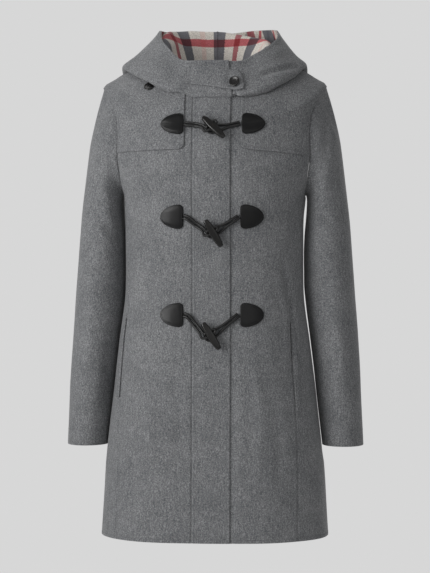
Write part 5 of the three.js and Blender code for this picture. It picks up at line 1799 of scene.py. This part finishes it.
def make_welt(side, name):
    _, lead = seam_lead(side)
    low, high = WELT_SPAN[side]
    heights = spaced(low, high)[:, None]
    wide = spaced(0.4, float(WELT_WIDE), 0.9, (0.15, 0.4), (0.15, 0.4))[None, :]
    angles = angle_at_y(heights + 0 * wide, -lead(heights) + wide * 1.15, side)
    points, normals = coat_grid(heights + 0 * wide, angles)
    down = relief(points, normals, FRONT_CREASES, BACK_CREASES)
    lift = LAYER_GAP + TRIM_GAP + WELT_THICK
    rows = [("right", WELT_STITCH)]
    make_cloth(f"pocket_welt_{name}", points, normals, lift, WELT_THICK, FLAP_EDGES, down, rows)


make_back()
make_placket()
for side_name, which in (("right", -1), ("left", 1)):
    make_front(which, side_name)
    make_side(which, side_name)
    make_yoke(which, side_name)
    make_sleeve(which, side_name)
    make_hood(which, side_name)
    make_lining(which, side_name)
    make_welt(which, side_name)
    for one in CLOSURES:
        make_patch(one, which, f"{one['name']}_{side_name}")
make_tab()
make_buttons()
for one in CLOSURES:
    make_toggle_cord(one)
    make_loop_cord(one)
    make_toggle(one)


# Stage: a pale floor under the coat, soft light from the upper left and a plain grey surround.
FLOOR_DROP = 1.4
FLOOR_RADIUS = 2.6
FLOOR_SIDES = 96
CAMERA_LENS = 108.2
SEEN_GREY = 0.68
GLOW_GREY = 0.28


def make_floor():
    turns = round_turns(FLOOR_SIDES)
    rim = [(FLOOR_RADIUS * math.cos(t), FLOOR_RADIUS * math.sin(t), -FLOOR_DROP) for t in turns]
    mesh = bpy.data.meshes.new("floor")
    mesh.from_pydata(rim, [], [tuple(range(FLOOR_SIDES))])
    look = Look("floor", 0.9)
    look.shader["Base Color"].default_value = (0.9, 0.9, 0.9, 1)
    mesh.materials.append(look.material)
    linked("floor", mesh)


def add_light(name, place, aim, size, watts, spread=180):
    light = bpy.data.lights.new(name, "AREA")
    light.spread = math.radians(spread)
    light.energy = watts
    light.shape = "DISK"
    light.size = size
    thing = linked(name, light)
    thing.location = place
    thing.rotation_euler = (Vector(aim) - Vector(place)).to_track_quat("-Z", "Y").to_euler()


def make_world(seen, glow):
    """The camera sees one grey; the coat is lit by another."""
    world = bpy.data.worlds.new("surround")
    bpy.context.scene.world = world
    world.use_nodes = True
    nodes, links = world.node_tree.nodes, world.node_tree.links
    back = nodes["Background"]
    back.inputs["Color"].default_value = (glow, glow, glow, 1)
    plain = nodes.new("ShaderNodeBackground")
    plain.inputs["Color"].default_value = (seen, seen, seen, 1)
    path = nodes.new("ShaderNodeLightPath")
    choose = nodes.new("ShaderNodeMixShader")
    links.new(path.outputs["Is Camera Ray"], choose.inputs[0])
    links.new(back.outputs[0], choose.inputs[1])
    links.new(plain.outputs[0], choose.inputs[2])
    links.new(choose.outputs[0], nodes["World Output"].inputs["Surface"])


def make_camera():
    data = bpy.data.cameras.new("camera")
    data.lens = CAMERA_LENS
    data.sensor_width = 36
    data.clip_start, data.clip_end = 0.1, 30
    camera = linked("camera", data)
    far = CAMERA_FAR * MM
    camera.location = (far * math.sin(CAMERA_TURN), -far * math.cos(CAMERA_TURN), CAMERA_HEIGHT * MM)
    camera.rotation_euler = (math.pi / 2, 0, CAMERA_TURN)
    bpy.context.scene.camera = camera


make_floor()
add_light("key", (-2.3, -2.0, 0.2), (0, 0, 0.0), 2.2, 16, 85)
add_light("fill", (0.8, -3.1, 0.3), (0, 0, -0.2), 2.2, 7)
add_light("top", (-0.5, 0.3, 2.2), (0, 0, -0.2), 1.4, 8)
add_light("behind", (0.4, 3.0, 0.6), (0, 0, -0.4), 2.4, 34)
make_world(SEEN_GREY, GLOW_GREY)
make_camera()
bpy.context.scene.view_settings.view_transform = "Standard"
